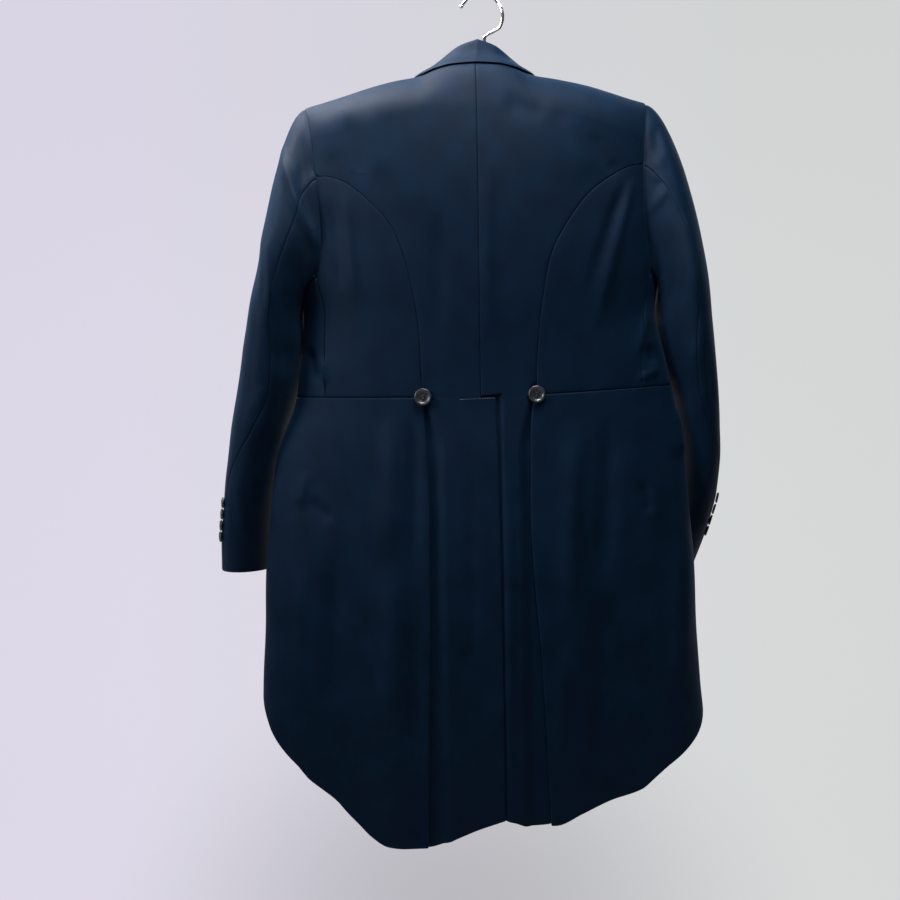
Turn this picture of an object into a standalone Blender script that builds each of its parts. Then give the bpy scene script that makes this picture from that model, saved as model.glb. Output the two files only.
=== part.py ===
# Morning coat hung on a hanger, seen from the back in its picture.
# Metres; +Z up, the coat's front faces -Y, the wearer's left is +X.
# The origin is the inside top of the hook, where it bears on a rail.
import bmesh
import bpy
import numpy as np

COAT_X = 0.010
ROUNDING = 0.060
SECTION_POWER = 2.4
NOMINAL_WIDTH = 0.26
NOMINAL_DEPTH = 0.07
SEAM_GAP = 0.0004
WAIST = -0.5290
SHOULDER_TIP = 0.2225
NECK_HALF = 0.0707
BACK_CLOTH = 0.0020
SLEEVE_CLOTH = 0.0020
FRONT_CLOTH = 0.0026
SKIRT_CLOTH = 0.0018
LAYER_GAP = 0.0004
PLEAT_DEPTH = 0.030
PLEAT_EASE = 0.0010
FLAP_EASE = 0.0002
# the skirt's length round the body, as a share of half the body
SKIRT_SHARE = 0.857
SKIRT_END = -1.09
ARMHOLE_FLOOR = -0.3741
ARMHOLE_EASE = 0.0008
VENT_EDGE = {1: -0.0205, -1: -0.0120}
LAPEL_BOTTOM = -0.452
LAPEL_EASE = 0.0004
LAPEL_ROLL = 0.0030
COLLAR_HALF = 0.0011
COLLAR_EASE = 0.0009
COLLAR_SINK = 0.0054
COLLAR_LEAN = 0.0037

# height, half width of the wearer's left, half width of the right
WIDTHS = [
    (-0.080, 0.2320, 0.2320), (-0.1510, 0.2320, 0.2320), (-0.200, 0.2340, 0.2340),
    (-0.280, 0.2380, 0.2380), (-0.340, 0.2380, 0.2380), (-0.376, 0.2360, 0.2360),
    (-0.420, 0.2280, 0.2300), (-0.460, 0.2300, 0.2380), (-0.490, 0.2350, 0.2460),
    (-0.525, 0.2400, 0.2530), (-0.600, 0.2654, 0.2654), (-0.645, 0.2726, 0.2700),
    (-0.690, 0.2780, 0.2735), (-0.7425, 0.2834, 0.2769), (-0.820, 0.2860, 0.2800),
    (-0.900, 0.2900, 0.2845), (-0.950, 0.2910, 0.2880), (-1.100, 0.2900, 0.2860),
]
# height, half depth to the back, half depth to the front
DEPTHS = [
    (-0.080, 0.072, 0.062), (-0.105, 0.070, 0.065), (-0.130, 0.0685, 0.0685),
    (-0.170, 0.075, 0.075), (-0.250, 0.080, 0.082), (-0.350, 0.076, 0.080),
    (-0.450, 0.067, 0.071), (-0.530, 0.062, 0.064), (-0.620, 0.066, 0.066),
    (-0.750, 0.071, 0.068), (-0.900, 0.070, 0.066), (-1.100, 0.064, 0.060),
]
# distance from the middle, height of the shoulder ridge
RIDGE_LINE = [
    (0.000, -0.0850), (0.030, -0.0890), (0.050, -0.0970), (0.0707, -0.1085),
    (0.1028, -0.1143), (0.1436, -0.1235), (0.1753, -0.1322), (0.2044, -0.1402),
    (0.2228, -0.1445), (0.240, -0.1520),
]
# share round the body, rise of the waist seam on the left, on the right
WAIST_LIFTS = [
    (0.00, 0.0000, 0.0000), (0.15, 0.0010, 0.0030), (0.25, 0.0018, 0.0058),
    (0.36, 0.0034, 0.0100), (0.50, 0.0065, 0.0148), (0.75, 0.0060, 0.0090),
    (1.00, 0.0040, 0.0040),
]
# height, share at the armhole's back edge and the curved back seam: left
BACK_SEAM_LEFT = [
    (-0.1400, 0.4530), (-0.1500, 0.4460), (-0.1769, 0.4260), (-0.2053, 0.4110),
    (-0.2464, 0.3950), (-0.2485, 0.3670), (-0.2525, 0.3420), (-0.2600, 0.3140),
    (-0.2700, 0.2880), (-0.2830, 0.2610), (-0.3000, 0.2300), (-0.3200, 0.2030),
    (-0.3450, 0.1830), (-0.3740, 0.1690), (-0.4100, 0.1600), (-0.4500, 0.1510),
    (-0.4900, 0.1440), (-0.5300, 0.1370),
]
# height, share at the same edge: right
BACK_SEAM_RIGHT = [
    (-0.1400, 0.4530), (-0.1500, 0.4485), (-0.1760, 0.4370), (-0.2043, 0.4250),
    (-0.2352, 0.4130), (-0.2385, 0.3880), (-0.2430, 0.3640), (-0.2500, 0.3380),
    (-0.2600, 0.3070), (-0.2739, 0.2720), (-0.2950, 0.2360), (-0.3200, 0.2030),
    (-0.3450, 0.1770), (-0.3740, 0.1620), (-0.4100, 0.1540), (-0.4500, 0.1420),
    (-0.4900, 0.1300), (-0.5300, 0.1250),
]
# height, share at the armhole's lower back edge and the side seam: left, right
SIDE_SEAM = [
    (-0.2300, 0.4020, 0.4140), (-0.2464, 0.3950, 0.4110), (-0.2770, 0.3870, 0.4090),
    (-0.3090, 0.3840, 0.4130), (-0.3400, 0.3860, 0.4220), (-0.3600, 0.3910, 0.4290),
    (-0.3740, 0.3990, 0.4330), (-0.4100, 0.3960, 0.4270), (-0.4500, 0.3960, 0.4110),
    (-0.4900, 0.3860, 0.3850), (-0.5300, 0.3750, 0.3680),
]
# height, share at the armhole's front edge
FRONT_ARMHOLE = [
    (-0.1400, 0.5480), (-0.1500, 0.5540), (-0.1700, 0.5640), (-0.2000, 0.5760),
    (-0.2350, 0.5860), (-0.2650, 0.5890), (-0.3000, 0.5850), (-0.3250, 0.5750),
    (-0.3450, 0.5570), (-0.3580, 0.5320), (-0.3670, 0.5000), (-0.3718, 0.4660),
    (-0.3736, 0.4380), (-0.3741, 0.4150),
]
# height, distance of the front edge from the middle
FRONT_EDGE = [
    (-0.1000, 0.0707), (-0.1300, 0.0660), (-0.2000, 0.0560), (-0.3000, 0.0400),
    (-0.4000, 0.0200), (-0.4600, 0.0020), (-0.5000, -0.0120), (-0.5150, -0.0100),
    (-0.5290, 0.0000),
]
# height, share of the pleat's outer fold: left, right
PLEAT_FOLD = [
    (-0.5290, 0.1350, 0.1230), (-0.5495, 0.1310, 0.1130), (-0.6045, 0.1170, 0.1060),
    (-0.6973, 0.1085, 0.1010), (-0.7705, 0.1075, 0.1060), (-0.8389, 0.1085, 0.1140),
    (-0.9620, 0.1120, 0.1210), (-1.0913, 0.1170, 0.1290),
]
# share, height of the skirt's hem: left
SKIRT_HEM_LEFT = [
    (0.080, -1.0905), (0.117, -1.0915), (0.172, -1.0926), (0.205, -1.0905),
    (0.236, -1.0793), (0.259, -1.0645), (0.281, -1.0497), (0.300, -1.0350),
    (0.326, -1.0207), (0.352, -1.0064), (0.369, -0.9921), (0.391, -0.9781),
    (0.431, -0.9497), (0.446, -0.9356), (0.500, -0.8950), (0.600, -0.8150),
    (0.700, -0.7350), (0.800, -0.6600), (0.900, -0.5950), (0.960, -0.5650),
    (1.000, -0.5520),
]
# share, height of the skirt's hem: right
SKIRT_HEM_RIGHT = [
    (0.080, -1.0650), (0.131, -1.0661), (0.183, -1.0522), (0.248, -1.0388),
    (0.314, -1.0262), (0.338, -1.0125), (0.361, -0.9989), (0.388, -0.9857),
    (0.414, -0.9724), (0.439, -0.9590), (0.500, -0.9150), (0.600, -0.8300),
    (0.700, -0.7450), (0.800, -0.6650), (0.900, -0.5970), (0.960, -0.5650),
    (1.000, -0.5520),
]
# distance outward from the middle, height of the tail strip's hem: left, right
STRIP_HEM = [
    (-0.0300, -1.0560, -1.0520), (-0.0192, -1.0596, -1.0540), (0.0097, -1.0692, -1.0570),
    (0.0335, -1.0789, -1.0615), (0.0528, -1.0850, -1.0640), (0.0749, -1.0905, -1.0610),
    (0.1200, -1.0880, -1.0350),
]
# height, middle of the sleeve outward, forward, half width, half depth: left
SLEEVE_LEFT = [
    (-0.4200, 0.2672, -0.0060, 0.0332, 0.0770), (-0.4700, 0.2714, -0.0110, 0.0384, 0.0740),
    (-0.5170, 0.2805, -0.0170, 0.0390, 0.0710), (-0.5640, 0.2930, -0.0230, 0.0360, 0.0680),
    (-0.6120, 0.3027, -0.0310, 0.0337, 0.0640), (-0.6600, 0.3107, -0.0400, 0.0332, 0.0600),
    (-0.7080, 0.3170, -0.0500, 0.0335, 0.0560), (-0.7520, 0.3198, -0.0590, 0.0333, 0.0530),
]
# the same for the right sleeve, whose lower arm bends to the front
SLEEVE_RIGHT = [
    (-0.4200, 0.2690, -0.0060, 0.0335, 0.0790), (-0.4700, 0.2760, -0.0120, 0.0310, 0.0790),
    (-0.5170, 0.2845, -0.0200, 0.0278, 0.0770), (-0.5640, 0.2905, -0.0300, 0.0260, 0.0730),
    (-0.6120, 0.2950, -0.0430, 0.0250, 0.0680), (-0.6560, 0.2945, -0.0570, 0.0250, 0.0630),
    (-0.6900, 0.2885, -0.0700, 0.0255, 0.0590), (-0.7240, 0.2805, -0.0850, 0.0262, 0.0560),
    (-0.7560, 0.2710, -0.0980, 0.0270, 0.0540),
]
# height, turn round the sleeve of the hindarm seam in degrees, 0 outward and 90 back: left, right
HINDARM = [
    (-0.2000, 81.0, 74.0), (-0.2460, 85.0, 76.0), (-0.2900, 97.0, 73.0), (-0.3470, 101.0, 72.0),
    (-0.3830, 100.0, 76.0), (-0.4200, 100.0, 84.0), (-0.4600, 102.0, 98.0), (-0.5200, 108.0, 108.0),
    (-0.5700, 92.0, 92.0), (-0.6000, 66.0, 66.0), (-0.6300, 49.0, 49.0), (-0.6600, 45.0, 45.0),
    (-0.7500, 45.0, 45.0),
]
INSEAM_TURN = -70.0
# push of the sleeve's head off the armhole: outward, more outward at the crown, back,
# down, more down at the crown
HEAD_PUSH = {1: (0.010, 0.021, 0.020, 0.004, 0.010), -1: (0.010, 0.024, 0.020, 0.004, 0.007)}

# place across the lapel, height of its top edge
LAPEL_TOP = [(0.00, -0.1410), (0.35, -0.1500), (0.55, -0.1500), (1.00, -0.1430)]
# height, width of the lapel
LAPEL_WIDTH = [
    (-0.452, 0.006), (-0.420, 0.034), (-0.360, 0.058), (-0.280, 0.076), (-0.200, 0.088),
    (-0.140, 0.096),
]
# turn along the collar, then the roll line's place, then where the leaf ends and
# where the stand starts, each as distance outward and turn over the shoulder ridge
COLLAR_ROLL = [
    (0.00, 0.0000, 0.0350, -0.0741), (0.17, 0.0190, 0.0320, -0.0800),
    (0.35, 0.0400, 0.0170, -0.0895), (0.50, 0.0550, 0.0000, -0.0950),
    (0.65, 0.0625, -0.0210, -0.1030), (0.82, 0.0640, -0.0446, -0.1130),
    (1.00, 0.0635, -0.0640, -0.1300),
]
COLLAR_LEAF = [
    (0.00, 0.0000, 52.5), (0.17, 0.0300, 49.0), (0.35, 0.0560, 38.0),
    (0.50, 0.0780, 6.0), (0.65, 0.0880, -20.0), (0.82, 0.0950, -42.0), (1.00, 0.1000, -64.0),
]
COLLAR_STAND = [
    (0.00, 0.0000, 62.0), (0.17, 0.0245, 57.0), (0.35, 0.0450, 44.0),
    (0.50, 0.0615, 10.0), (0.65, 0.0625, -24.0), (0.82, 0.0615, -44.0), (1.00, 0.0600, -64.0),
]
# outward from the hanger's middle, height of its top before it meets the shoulder
HANGER_NECK = [
    (0.000, -0.0672), (0.012, -0.0690), (0.024, -0.0830), (0.034, -0.1010),
    (0.043, -0.1155), (0.060, -0.1215), (0.080, -0.1215), (0.100, -0.1180),
]
HANGER_MIDDLE = -0.014
HANGER_REACH = 0.196
HOOK_RADIUS = 0.0286
HOOK_WIRE = 0.00225
FERRULE = 0.0042
# sideways place, height and radius of the hook's shank below its bend
HOOK_SHANK = [
    (-0.0160, -0.0465, HOOK_WIRE), (-0.0090, -0.0500, HOOK_WIRE), (-0.0050, -0.0532, HOOK_WIRE),
    (-0.0040, -0.0570, HOOK_WIRE), (-0.0040, -0.0605, HOOK_WIRE), (-0.0040, -0.0615, FERRULE),
    (-0.0040, -0.0655, FERRULE), (-0.0040, -0.0665, FERRULE),
]
# distance past the end of the wire and radius of the ball on its tip
HOOK_TIP = [(0.0047, 0.0006), (0.0042, 0.0021), (0.0028, 0.0029), (0.0012, 0.0024)]
BUTTON_RADIUS = 0.01085
BUTTON_LIFT = 0.0006
CUFF_BUTTON_RADIUS = 0.0072
CUFF_BUTTON_LIFT = 0.0003
CUFF_BUTTON_STEP = 0.0152
CUFF_BUTTON_FIRST = {1: -0.7050, -1: -0.7090}
CUFF_BUTTON_INSET = 12.0
# share round the body and height of each button at the back of the waist
BACK_BUTTONS = {1: (0.1362, -0.5278), -1: (0.1250, -0.5264)}
FRONT_BUTTON = (0.9995, -0.500)


def through(rows, column=1):
    """Smooth curve with no overshoot through a table's knots."""
    table = np.array(rows, float)
    order = np.argsort(table[:, 0])
    knots, values = table[order, 0], table[order, column]
    step = np.diff(knots)
    slope = np.diff(values) / step
    tangent = np.zeros_like(values)
    tangent[0], tangent[-1] = slope[0], slope[-1]
    for k in range(1, len(knots) - 1):
        if slope[k - 1] * slope[k] > 0:
            one, two = 2 * step[k] + step[k - 1], step[k] + 2 * step[k - 1]
            tangent[k] = (one + two) / (one / slope[k - 1] + two / slope[k])

    def value(at):
        at = np.clip(at, knots[0], knots[-1])
        k = np.clip(np.searchsorted(knots, at) - 1, 0, len(step) - 1)
        t = (at - knots[k]) / step[k]
        return (values[k] * (1 + 2 * t) * (1 - t) ** 2 + tangent[k] * step[k] * t * (1 - t) ** 2
                + values[k + 1] * t * t * (3 - 2 * t) + tangent[k + 1] * step[k] * t * t * (t - 1))
    return value


def smooth(t):
    t = np.clip(t, 0.0, 1.0)
    return t * t * (3.0 - 2.0 * t)


def mix(a, b, t):
    return a + (b - a) * t


turns = np.linspace(0.0, np.pi, 2001)
ACROSS = np.abs(np.sin(turns)) ** (2 / SECTION_POWER)
ALONG = np.sign(np.cos(turns)) * np.abs(np.cos(turns)) ** (2 / SECTION_POWER)
lengths = np.hypot(np.diff(NOMINAL_WIDTH * ACROSS), np.diff(NOMINAL_DEPTH * ALONG))
SHARES = np.concatenate([[0.0], np.cumsum(lengths)])
HALF_ROUND = SHARES[-1]
SHARES = SHARES / HALF_ROUND

SIDES = (1, -1)
NAMES = {1: "left", -1: "right"}
width_of = {side: through(WIDTHS, 1 if side > 0 else 2) for side in SIDES}
back_depth = through(DEPTHS, 1)
front_depth = through(DEPTHS, 2)
ridge = through(RIDGE_LINE)
lift_of = {side: through(WAIST_LIFTS, 1 if side > 0 else 2) for side in SIDES}
back_seam = {1: through(BACK_SEAM_LEFT), -1: through(BACK_SEAM_RIGHT)}
side_seam = {side: through(SIDE_SEAM, 1 if side > 0 else 2) for side in SIDES}
front_armhole = through(FRONT_ARMHOLE)
front_edge = through(FRONT_EDGE)
pleat_fold = {side: through(PLEAT_FOLD, 1 if side > 0 else 2) for side in SIDES}
skirt_hem = {1: through(SKIRT_HEM_LEFT), -1: through(SKIRT_HEM_RIGHT)}
strip_hem = {side: through(STRIP_HEM, 1 if side > 0 else 2) for side in SIDES}
hindarm = {side: through(HINDARM, 1 if side > 0 else 2) for side in SIDES}


def share_across(outward, z, side, front=False):
    """Share round the body at a distance outward from the middle."""
    half = len(turns) // 2
    part = np.clip(np.abs(outward) / width_of[side](z), 0.0, 1.0)
    share = np.sign(outward) * np.interp(part, ACROSS[:half + 1], SHARES[:half + 1])
    return 1.0 - share if front else share


def outward_of(side, share, z):
    inner = np.where(share > 1.0, 2.0 - share, np.abs(share))
    sign = np.where((share < 0.0) | (share > 1.0), -1.0, 1.0)
    return sign * width_of[side](z) * np.interp(inner, SHARES, ACROSS)


def flute(share, z):
    """Soft folds that deepen down the skirt."""
    growth = smooth((-0.56 - z) / 0.34)
    wave = np.cos(2 * np.pi * (share - 0.40) / 0.26)
    return 0.0050 * growth * wave * smooth((share - 0.13) / 0.08)


def hull(side, share, z):
    """Point of the coat's outer surface at a share round the body and a height."""
    inner = np.where(share > 1.0, 2.0 - share, np.abs(share))
    sign = np.where((share < 0.0) | (share > 1.0), -1.0, 1.0)
    across = np.interp(inner, SHARES, ACROSS)
    along = np.interp(inner, SHARES, ALONG)
    fold = flute(share, z)
    outward = (width_of[side](z) + fold) * across
    depth = np.where(along > 0, back_depth(z), front_depth(z)) + fold
    part = np.clip((ridge(outward) - z) / ROUNDING, 0.0, 1.0)
    y = depth * along * np.sqrt(1.0 - (1.0 - part) ** 2)
    return np.stack([COAT_X + side * sign * outward, y, z + 0.0 * share], axis=-1)


def shoulder(side, outward, turn):
    """Point of the same surface near the shoulder ridge, turned back or front of it."""
    outward = np.asarray(outward, float)
    z = ridge(np.abs(outward)) - ROUNDING * (1.0 - np.cos(turn))
    part = np.clip(np.abs(outward) / width_of[side](z), 0.0, 1.0)
    along = (1.0 - part ** SECTION_POWER) ** (1 / SECTION_POWER)
    depth = np.where(turn > 0, back_depth(z), front_depth(z))
    return np.stack([COAT_X + side * outward, depth * along * np.sin(turn), z], axis=-1)


def row_height(side, row, share, levels, neck=False):
    """Height of a row: 0 to 1 rolls off the shoulder, then level rows follow."""
    outward = width_of[side](-0.12) * np.interp(np.abs(share), SHARES, ACROSS)
    start = 0.0030 + 0.030 * smooth((share - 0.38) / 0.07)
    if neck:
        near = np.clip(1.0 - (outward / NECK_HALF) ** 2, 0.0, 1.0)
        start = np.arccos(1.0 - 0.0205 * near ** 0.72 / ROUNDING) + start
    turn = mix(start, np.pi / 2, np.clip(row, 0.0, 1.0))
    rolled = ridge(outward) - ROUNDING * (1.0 - np.cos(turn))
    upper = mix(rolled, levels[0], np.clip(row - 1.0, 0.0, 1.0))
    level = np.interp(row - 2.0, np.arange(len(levels)), levels)
    z = np.where(row < 2.0, upper, level)
    weight = smooth((-0.45 - z) / 0.07) * smooth((z + 0.62) / 0.07)
    return z + lift_of[side](np.abs(share)) * weight


def edge_share(side, row, levels, share_at, neck=False):
    """Share at which a row meets an edge that is given by height."""
    share = np.full(np.shape(row), 0.42)
    for _ in range(14):
        share = mix(share, share_at(row_height(side, row, share, levels, neck)), 0.7)
    return share


def parted(share_at, toward):
    """The edge moved half a seam gap, square to its own run."""
    def share(z):
        run = (share_at(z + 0.0004) - share_at(z - 0.0004)) / 0.0008 * HALF_ROUND
        return share_at(z) + toward * SEAM_GAP / 2 * np.sqrt(1.0 + run ** 2) / HALF_ROUND
    return share


def surface_normals(place, columns, rows, outward):
    """Unit normals of a surface from small steps along it."""
    step = 0.0002
    low_u, high_u = np.maximum(columns - step, columns.min()), columns + step
    low_v, high_v = rows - step, rows + step
    low_v = np.where(low_v < rows.min(), rows.min(), low_v)
    high_v = np.where(high_v > rows.max(), rows.max(), high_v)
    along = place(high_u, rows) - place(low_u, rows)
    down = place(columns, high_v) - place(columns, low_v)
    normal = np.cross(along, down)
    normal /= np.linalg.norm(normal, axis=-1, keepdims=True)
    middle = normal[normal.shape[0] // 2, normal.shape[1] // 2]
    return normal if np.dot(middle, outward) > 0 else -normal


def layer(place, columns, rows, outward, depth, thickness):
    """Outer and inner faces of a sheet lying under or over a surface."""
    u, v = np.meshgrid(columns, rows)
    points = place(u, v)
    normal = surface_normals(place, u, v, outward)
    sunk = depth(u, v) if callable(depth) else depth + 0.0 * u
    outer = points - normal * sunk[..., None]
    return outer, outer - normal * thickness


def material(name, colour, roughness, metallic):
    made = bpy.data.materials.new(name)
    made.use_nodes = True
    shader = made.node_tree.nodes["Principled BSDF"]
    shader.inputs["Base Color"].default_value = (*colour, 1.0)
    shader.inputs["Roughness"].default_value = roughness
    shader.inputs["Metallic"].default_value = metallic
    return made


def add_solid(name, vertices, faces, look):
    mesh = bpy.data.meshes.new(name)
    mesh.from_pydata([tuple(map(float, p)) for p in vertices], [], faces)
    shape = bmesh.new()
    shape.from_mesh(mesh)
    bmesh.ops.recalc_face_normals(shape, faces=shape.faces)
    shape.to_mesh(mesh)
    shape.free()
    solid = bpy.data.objects.new(name, mesh)
    bpy.context.scene.collection.objects.link(solid)
    mesh.materials.append(material(name + "_look", *look))
    return solid


def add_sheet(name, outer, inner, look):
    """Closed solid between two grids of points."""
    rows, columns = outer.shape[:2]
    count = rows * columns
    faces = []

    def at(i, j, face):
        return face * count + i * columns + j
    for i in range(rows - 1):
        for j in range(columns - 1):
            faces.append((at(i, j, 0), at(i + 1, j, 0), at(i + 1, j + 1, 0), at(i, j + 1, 0)))
            faces.append((at(i, j, 1), at(i, j + 1, 1), at(i + 1, j + 1, 1), at(i + 1, j, 1)))
    border = [(0, j) for j in range(columns)] + [(i, columns - 1) for i in range(1, rows)]
    border += [(rows - 1, j) for j in range(columns - 2, -1, -1)]
    border += [(i, 0) for i in range(rows - 2, 0, -1)]
    for here, there in zip(border, border[1:] + border[:1]):
        faces.append((at(*here, 0), at(*there, 0), at(*there, 1), at(*here, 1)))
    vertices = np.concatenate([outer.reshape(-1, 3), inner.reshape(-1, 3)])
    return add_solid(name, vertices, faces, look)


def add_tube(name, rings, look):
    """Closed solid through rings of points, capped at both ends."""
    rings = np.array(rings)
    count, around = rings.shape[:2]
    faces = [tuple(range(around)), tuple((count - 1) * around + k for k in range(around))]
    for i in range(count - 1):
        for k in range(around):
            n = (k + 1) % around
            faces.append((i * around + k, i * around + n, (i + 1) * around + n, (i + 1) * around + k))
    return add_solid(name, rings.reshape(-1, 3), faces, look)


WOOL = ((0.012, 0.013, 0.019), 0.85, 0.0)
SATIN = ((0.010, 0.010, 0.014), 0.55, 0.0)
HORN = ((0.020, 0.020, 0.022), 0.30, 0.0)
CHROME = ((0.80, 0.80, 0.82), 0.12, 1.0)
PLASTIC = ((0.03, 0.03, 0.03), 0.45, 0.0)

LEVELS = {
    1: [-0.2350, -0.2464, -0.2485, -0.2525, -0.2600, -0.2700, -0.2830, -0.3000, -0.3200,
        -0.3450, -0.3740, -0.4100, -0.4500, -0.4900, -0.5290],
    -1: [-0.2250, -0.2352, -0.2385, -0.2430, -0.2500, -0.2600, -0.2739, -0.2950, -0.3200,
         -0.3450, -0.3740, -0.4100, -0.4500, -0.4900, -0.5290],
}
FRONT_LEVELS = [-0.2350, -0.2650, -0.3000, -0.3250, -0.3450, -0.3580, -0.3670, -0.3718, -0.3740,
                -0.4100, -0.4500, -0.4900, -0.5290]
SHOULDER_ROWS = [0.0, 0.11, 0.22, 0.38, 0.56, 0.77, 1.0, 1.5]
TAIL_ROWS = [0.0, 0.012, 0.06, 0.14, 0.25, 0.38, 0.52, 0.66, 0.80, 0.92, 1.0]


def strip_sunk(side, outward, z):
    """How far the tail strips lie under the skirts and the vent's flap."""
    below = smooth((-0.512 - z) / 0.013)
    pleat = 2 * (SKIRT_CLOTH + LAYER_GAP) + PLEAT_EASE
    sunk = pleat * smooth((outward - 0.045) / 0.014)
    if side < 0:
        flap = BACK_CLOTH + LAYER_GAP + FLAP_EASE
        sunk = np.maximum(sunk, flap * smooth((0.036 - outward) / 0.010))
    return below * sunk


def build_back(side):
    """Half of the back, cut in one with its tail strip."""
    levels = LEVELS[side]
    bottom = 2.0 + len(levels) - 1
    outer_edge = parted(back_seam[side], -1)

    def place(u, v):
        upper = np.clip(v, 0.0, bottom)
        end = edge_share(side, upper, levels, outer_edge, neck=True)
        start = 0.75 * SEAM_GAP / HALF_ROUND
        share = mix(start, end, u)
        z = row_height(side, upper, share, levels, neck=True)
        t = np.clip(v - bottom, 0.0, 1.0)
        opened = smooth(t / TAIL_ROWS[1])
        fold = pleat_fold[side](mix(WAIST, SKIRT_END, t))
        tail_end = mix(end, fold + (PLEAT_DEPTH + 0.001) / HALF_ROUND, opened)
        tail_start = mix(start, share_across(VENT_EDGE[side], -0.6 + 0.0 * u, side), opened)
        tail_share = mix(tail_start, tail_end, u)
        hem = strip_hem[side](outward_of(side, tail_share, -0.9 + 0.0 * u))
        z = np.where(v > bottom, mix(z, hem, t), z)
        return hull(side, np.where(v > bottom, tail_share, share), z)

    def depth(u, v):
        points = place(u, v)
        return strip_sunk(side, side * (points[..., 0] - COAT_X), points[..., 2])
    rows = SHOULDER_ROWS + [2.0 + k for k in range(len(levels))]
    rows += [bottom + t for t in TAIL_ROWS[1:]]
    columns = np.array([0.0, 0.14, 0.30, 0.46, 0.60, 0.72, 0.82, 0.92, 1.0])
    faces = layer(place, columns, np.array(rows), (0, 1, 0), depth, BACK_CLOTH)
    add_sheet("back_" + NAMES[side], *faces, WOOL)


def build_sidebody(side):
    """The narrow piece between the curved back seam and the side seam."""
    levels = LEVELS[side]
    start_at = parted(back_seam[side], 1)
    end_at = parted(side_seam[side], -1)

    def place(u, v):
        share = mix(edge_share(side, v + 2.0, levels, start_at),
                    edge_share(side, v + 2.0, levels, end_at), u)
        return hull(side, share, row_height(side, v + 2.0, share, levels))
    rows = np.array([1.35] + list(range(2, len(levels) - 1)) + [len(levels) - 1.0 - 0.006])
    columns = np.array([0.0, 0.25, 0.5, 0.75, 1.0])
    faces = layer(place, columns, rows, (0, 1, 0), 0.0, BACK_CLOTH)
    add_sheet("sidebody_" + NAMES[side], *faces, WOOL)


def front_share(side):
    def share(z):
        return share_across(front_edge(z), z, side, front=True)
    return share


def front_sunk(side, outward, z):
    """The right front lies under the left one where they button."""
    if side > 0:
        return 0.0 * z
    return (FRONT_CLOTH + 4 * LAYER_GAP) * smooth((0.045 - outward) / 0.015) * smooth((-0.40 - z) / 0.04)


def build_front(side):
    """The forepart, from the shoulder and side seam to the front edge."""
    levels = FRONT_LEVELS
    lowest = 2.0 + len(levels) - 1.0

    def start_at(z):
        armhole = parted(front_armhole, 1)(np.maximum(z, ARMHOLE_FLOOR))
        seam = parted(side_seam[side], 1)(z)
        return np.where(z > -0.3738, armhole, seam)
    end_at = front_share(side)

    def place(u, v):
        start = edge_share(side, v, levels, start_at)
        end = edge_share(side, v, levels, end_at)
        share = mix(start, end, u)
        folded = np.where(v < 2.0, 1.0 - share, share)
        z = row_height(side, v, np.where(v < 2.0, folded, share), levels)
        return hull(side, share, z)

    def depth(u, v):
        points = place(u, v)
        return front_sunk(side, side * (points[..., 0] - COAT_X), points[..., 2])
    rows = SHOULDER_ROWS + [2.0 + k for k in range(len(levels) - 1)] + [lowest - 0.006]
    columns = np.array([0.0, 0.06, 0.13, 0.22, 0.33, 0.46, 0.60, 0.74, 0.88, 1.0])
    faces = layer(place, columns, np.array(rows), (0, -1, 0), depth, FRONT_CLOTH)
    add_sheet("front_" + NAMES[side], *faces, WOOL)


def build_lapel(side):
    """The front edge's turned-back lapel, lying on the forepart."""
    top, width = through(LAPEL_TOP), through(LAPEL_WIDTH)

    def place(u, v):
        z = mix(top(u), LAPEL_BOTTOM, v)
        outward = front_edge(z) + 0.004 + u * width(z)
        return hull(side, share_across(outward, z, side, front=True), z)

    def depth(u, v):
        roll = LAPEL_ROLL * (1.0 - smooth(u / 0.3))
        return -(FRONT_CLOTH + LAYER_GAP + LAPEL_EASE + roll) + 0.0 * v
    columns = np.array([0.0, 0.14, 0.35, 0.55, 0.78, 1.0])
    rows = np.array([0.0, 0.025, 0.05, 0.08, 0.13, 0.22, 0.34, 0.48, 0.64, 0.82, 1.0])
    faces = layer(place, columns, rows, (0, -1, 0), depth, FRONT_CLOTH - 0.0004)
    add_sheet("lapel_" + NAMES[side], *faces, SATIN)


def pleat_path():
    """Along and depth of the skirt's cloth, turned under at its pleat fold."""
    bend = (SKIRT_CLOTH + LAYER_GAP) / 2
    upper, lower = SKIRT_CLOTH / 2, SKIRT_CLOTH / 2 + 2 * bend
    path = [(PLEAT_DEPTH, lower, 0.0, 1.0), (PLEAT_DEPTH * 0.5, lower, 0.0, 1.0)]
    for turn in np.linspace(0.0, np.pi, 6):
        path.append((bend * (1.0 - np.sin(turn)), upper + bend * (1.0 + np.cos(turn)),
                     -np.sin(turn), np.cos(turn)))
    return path


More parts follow.
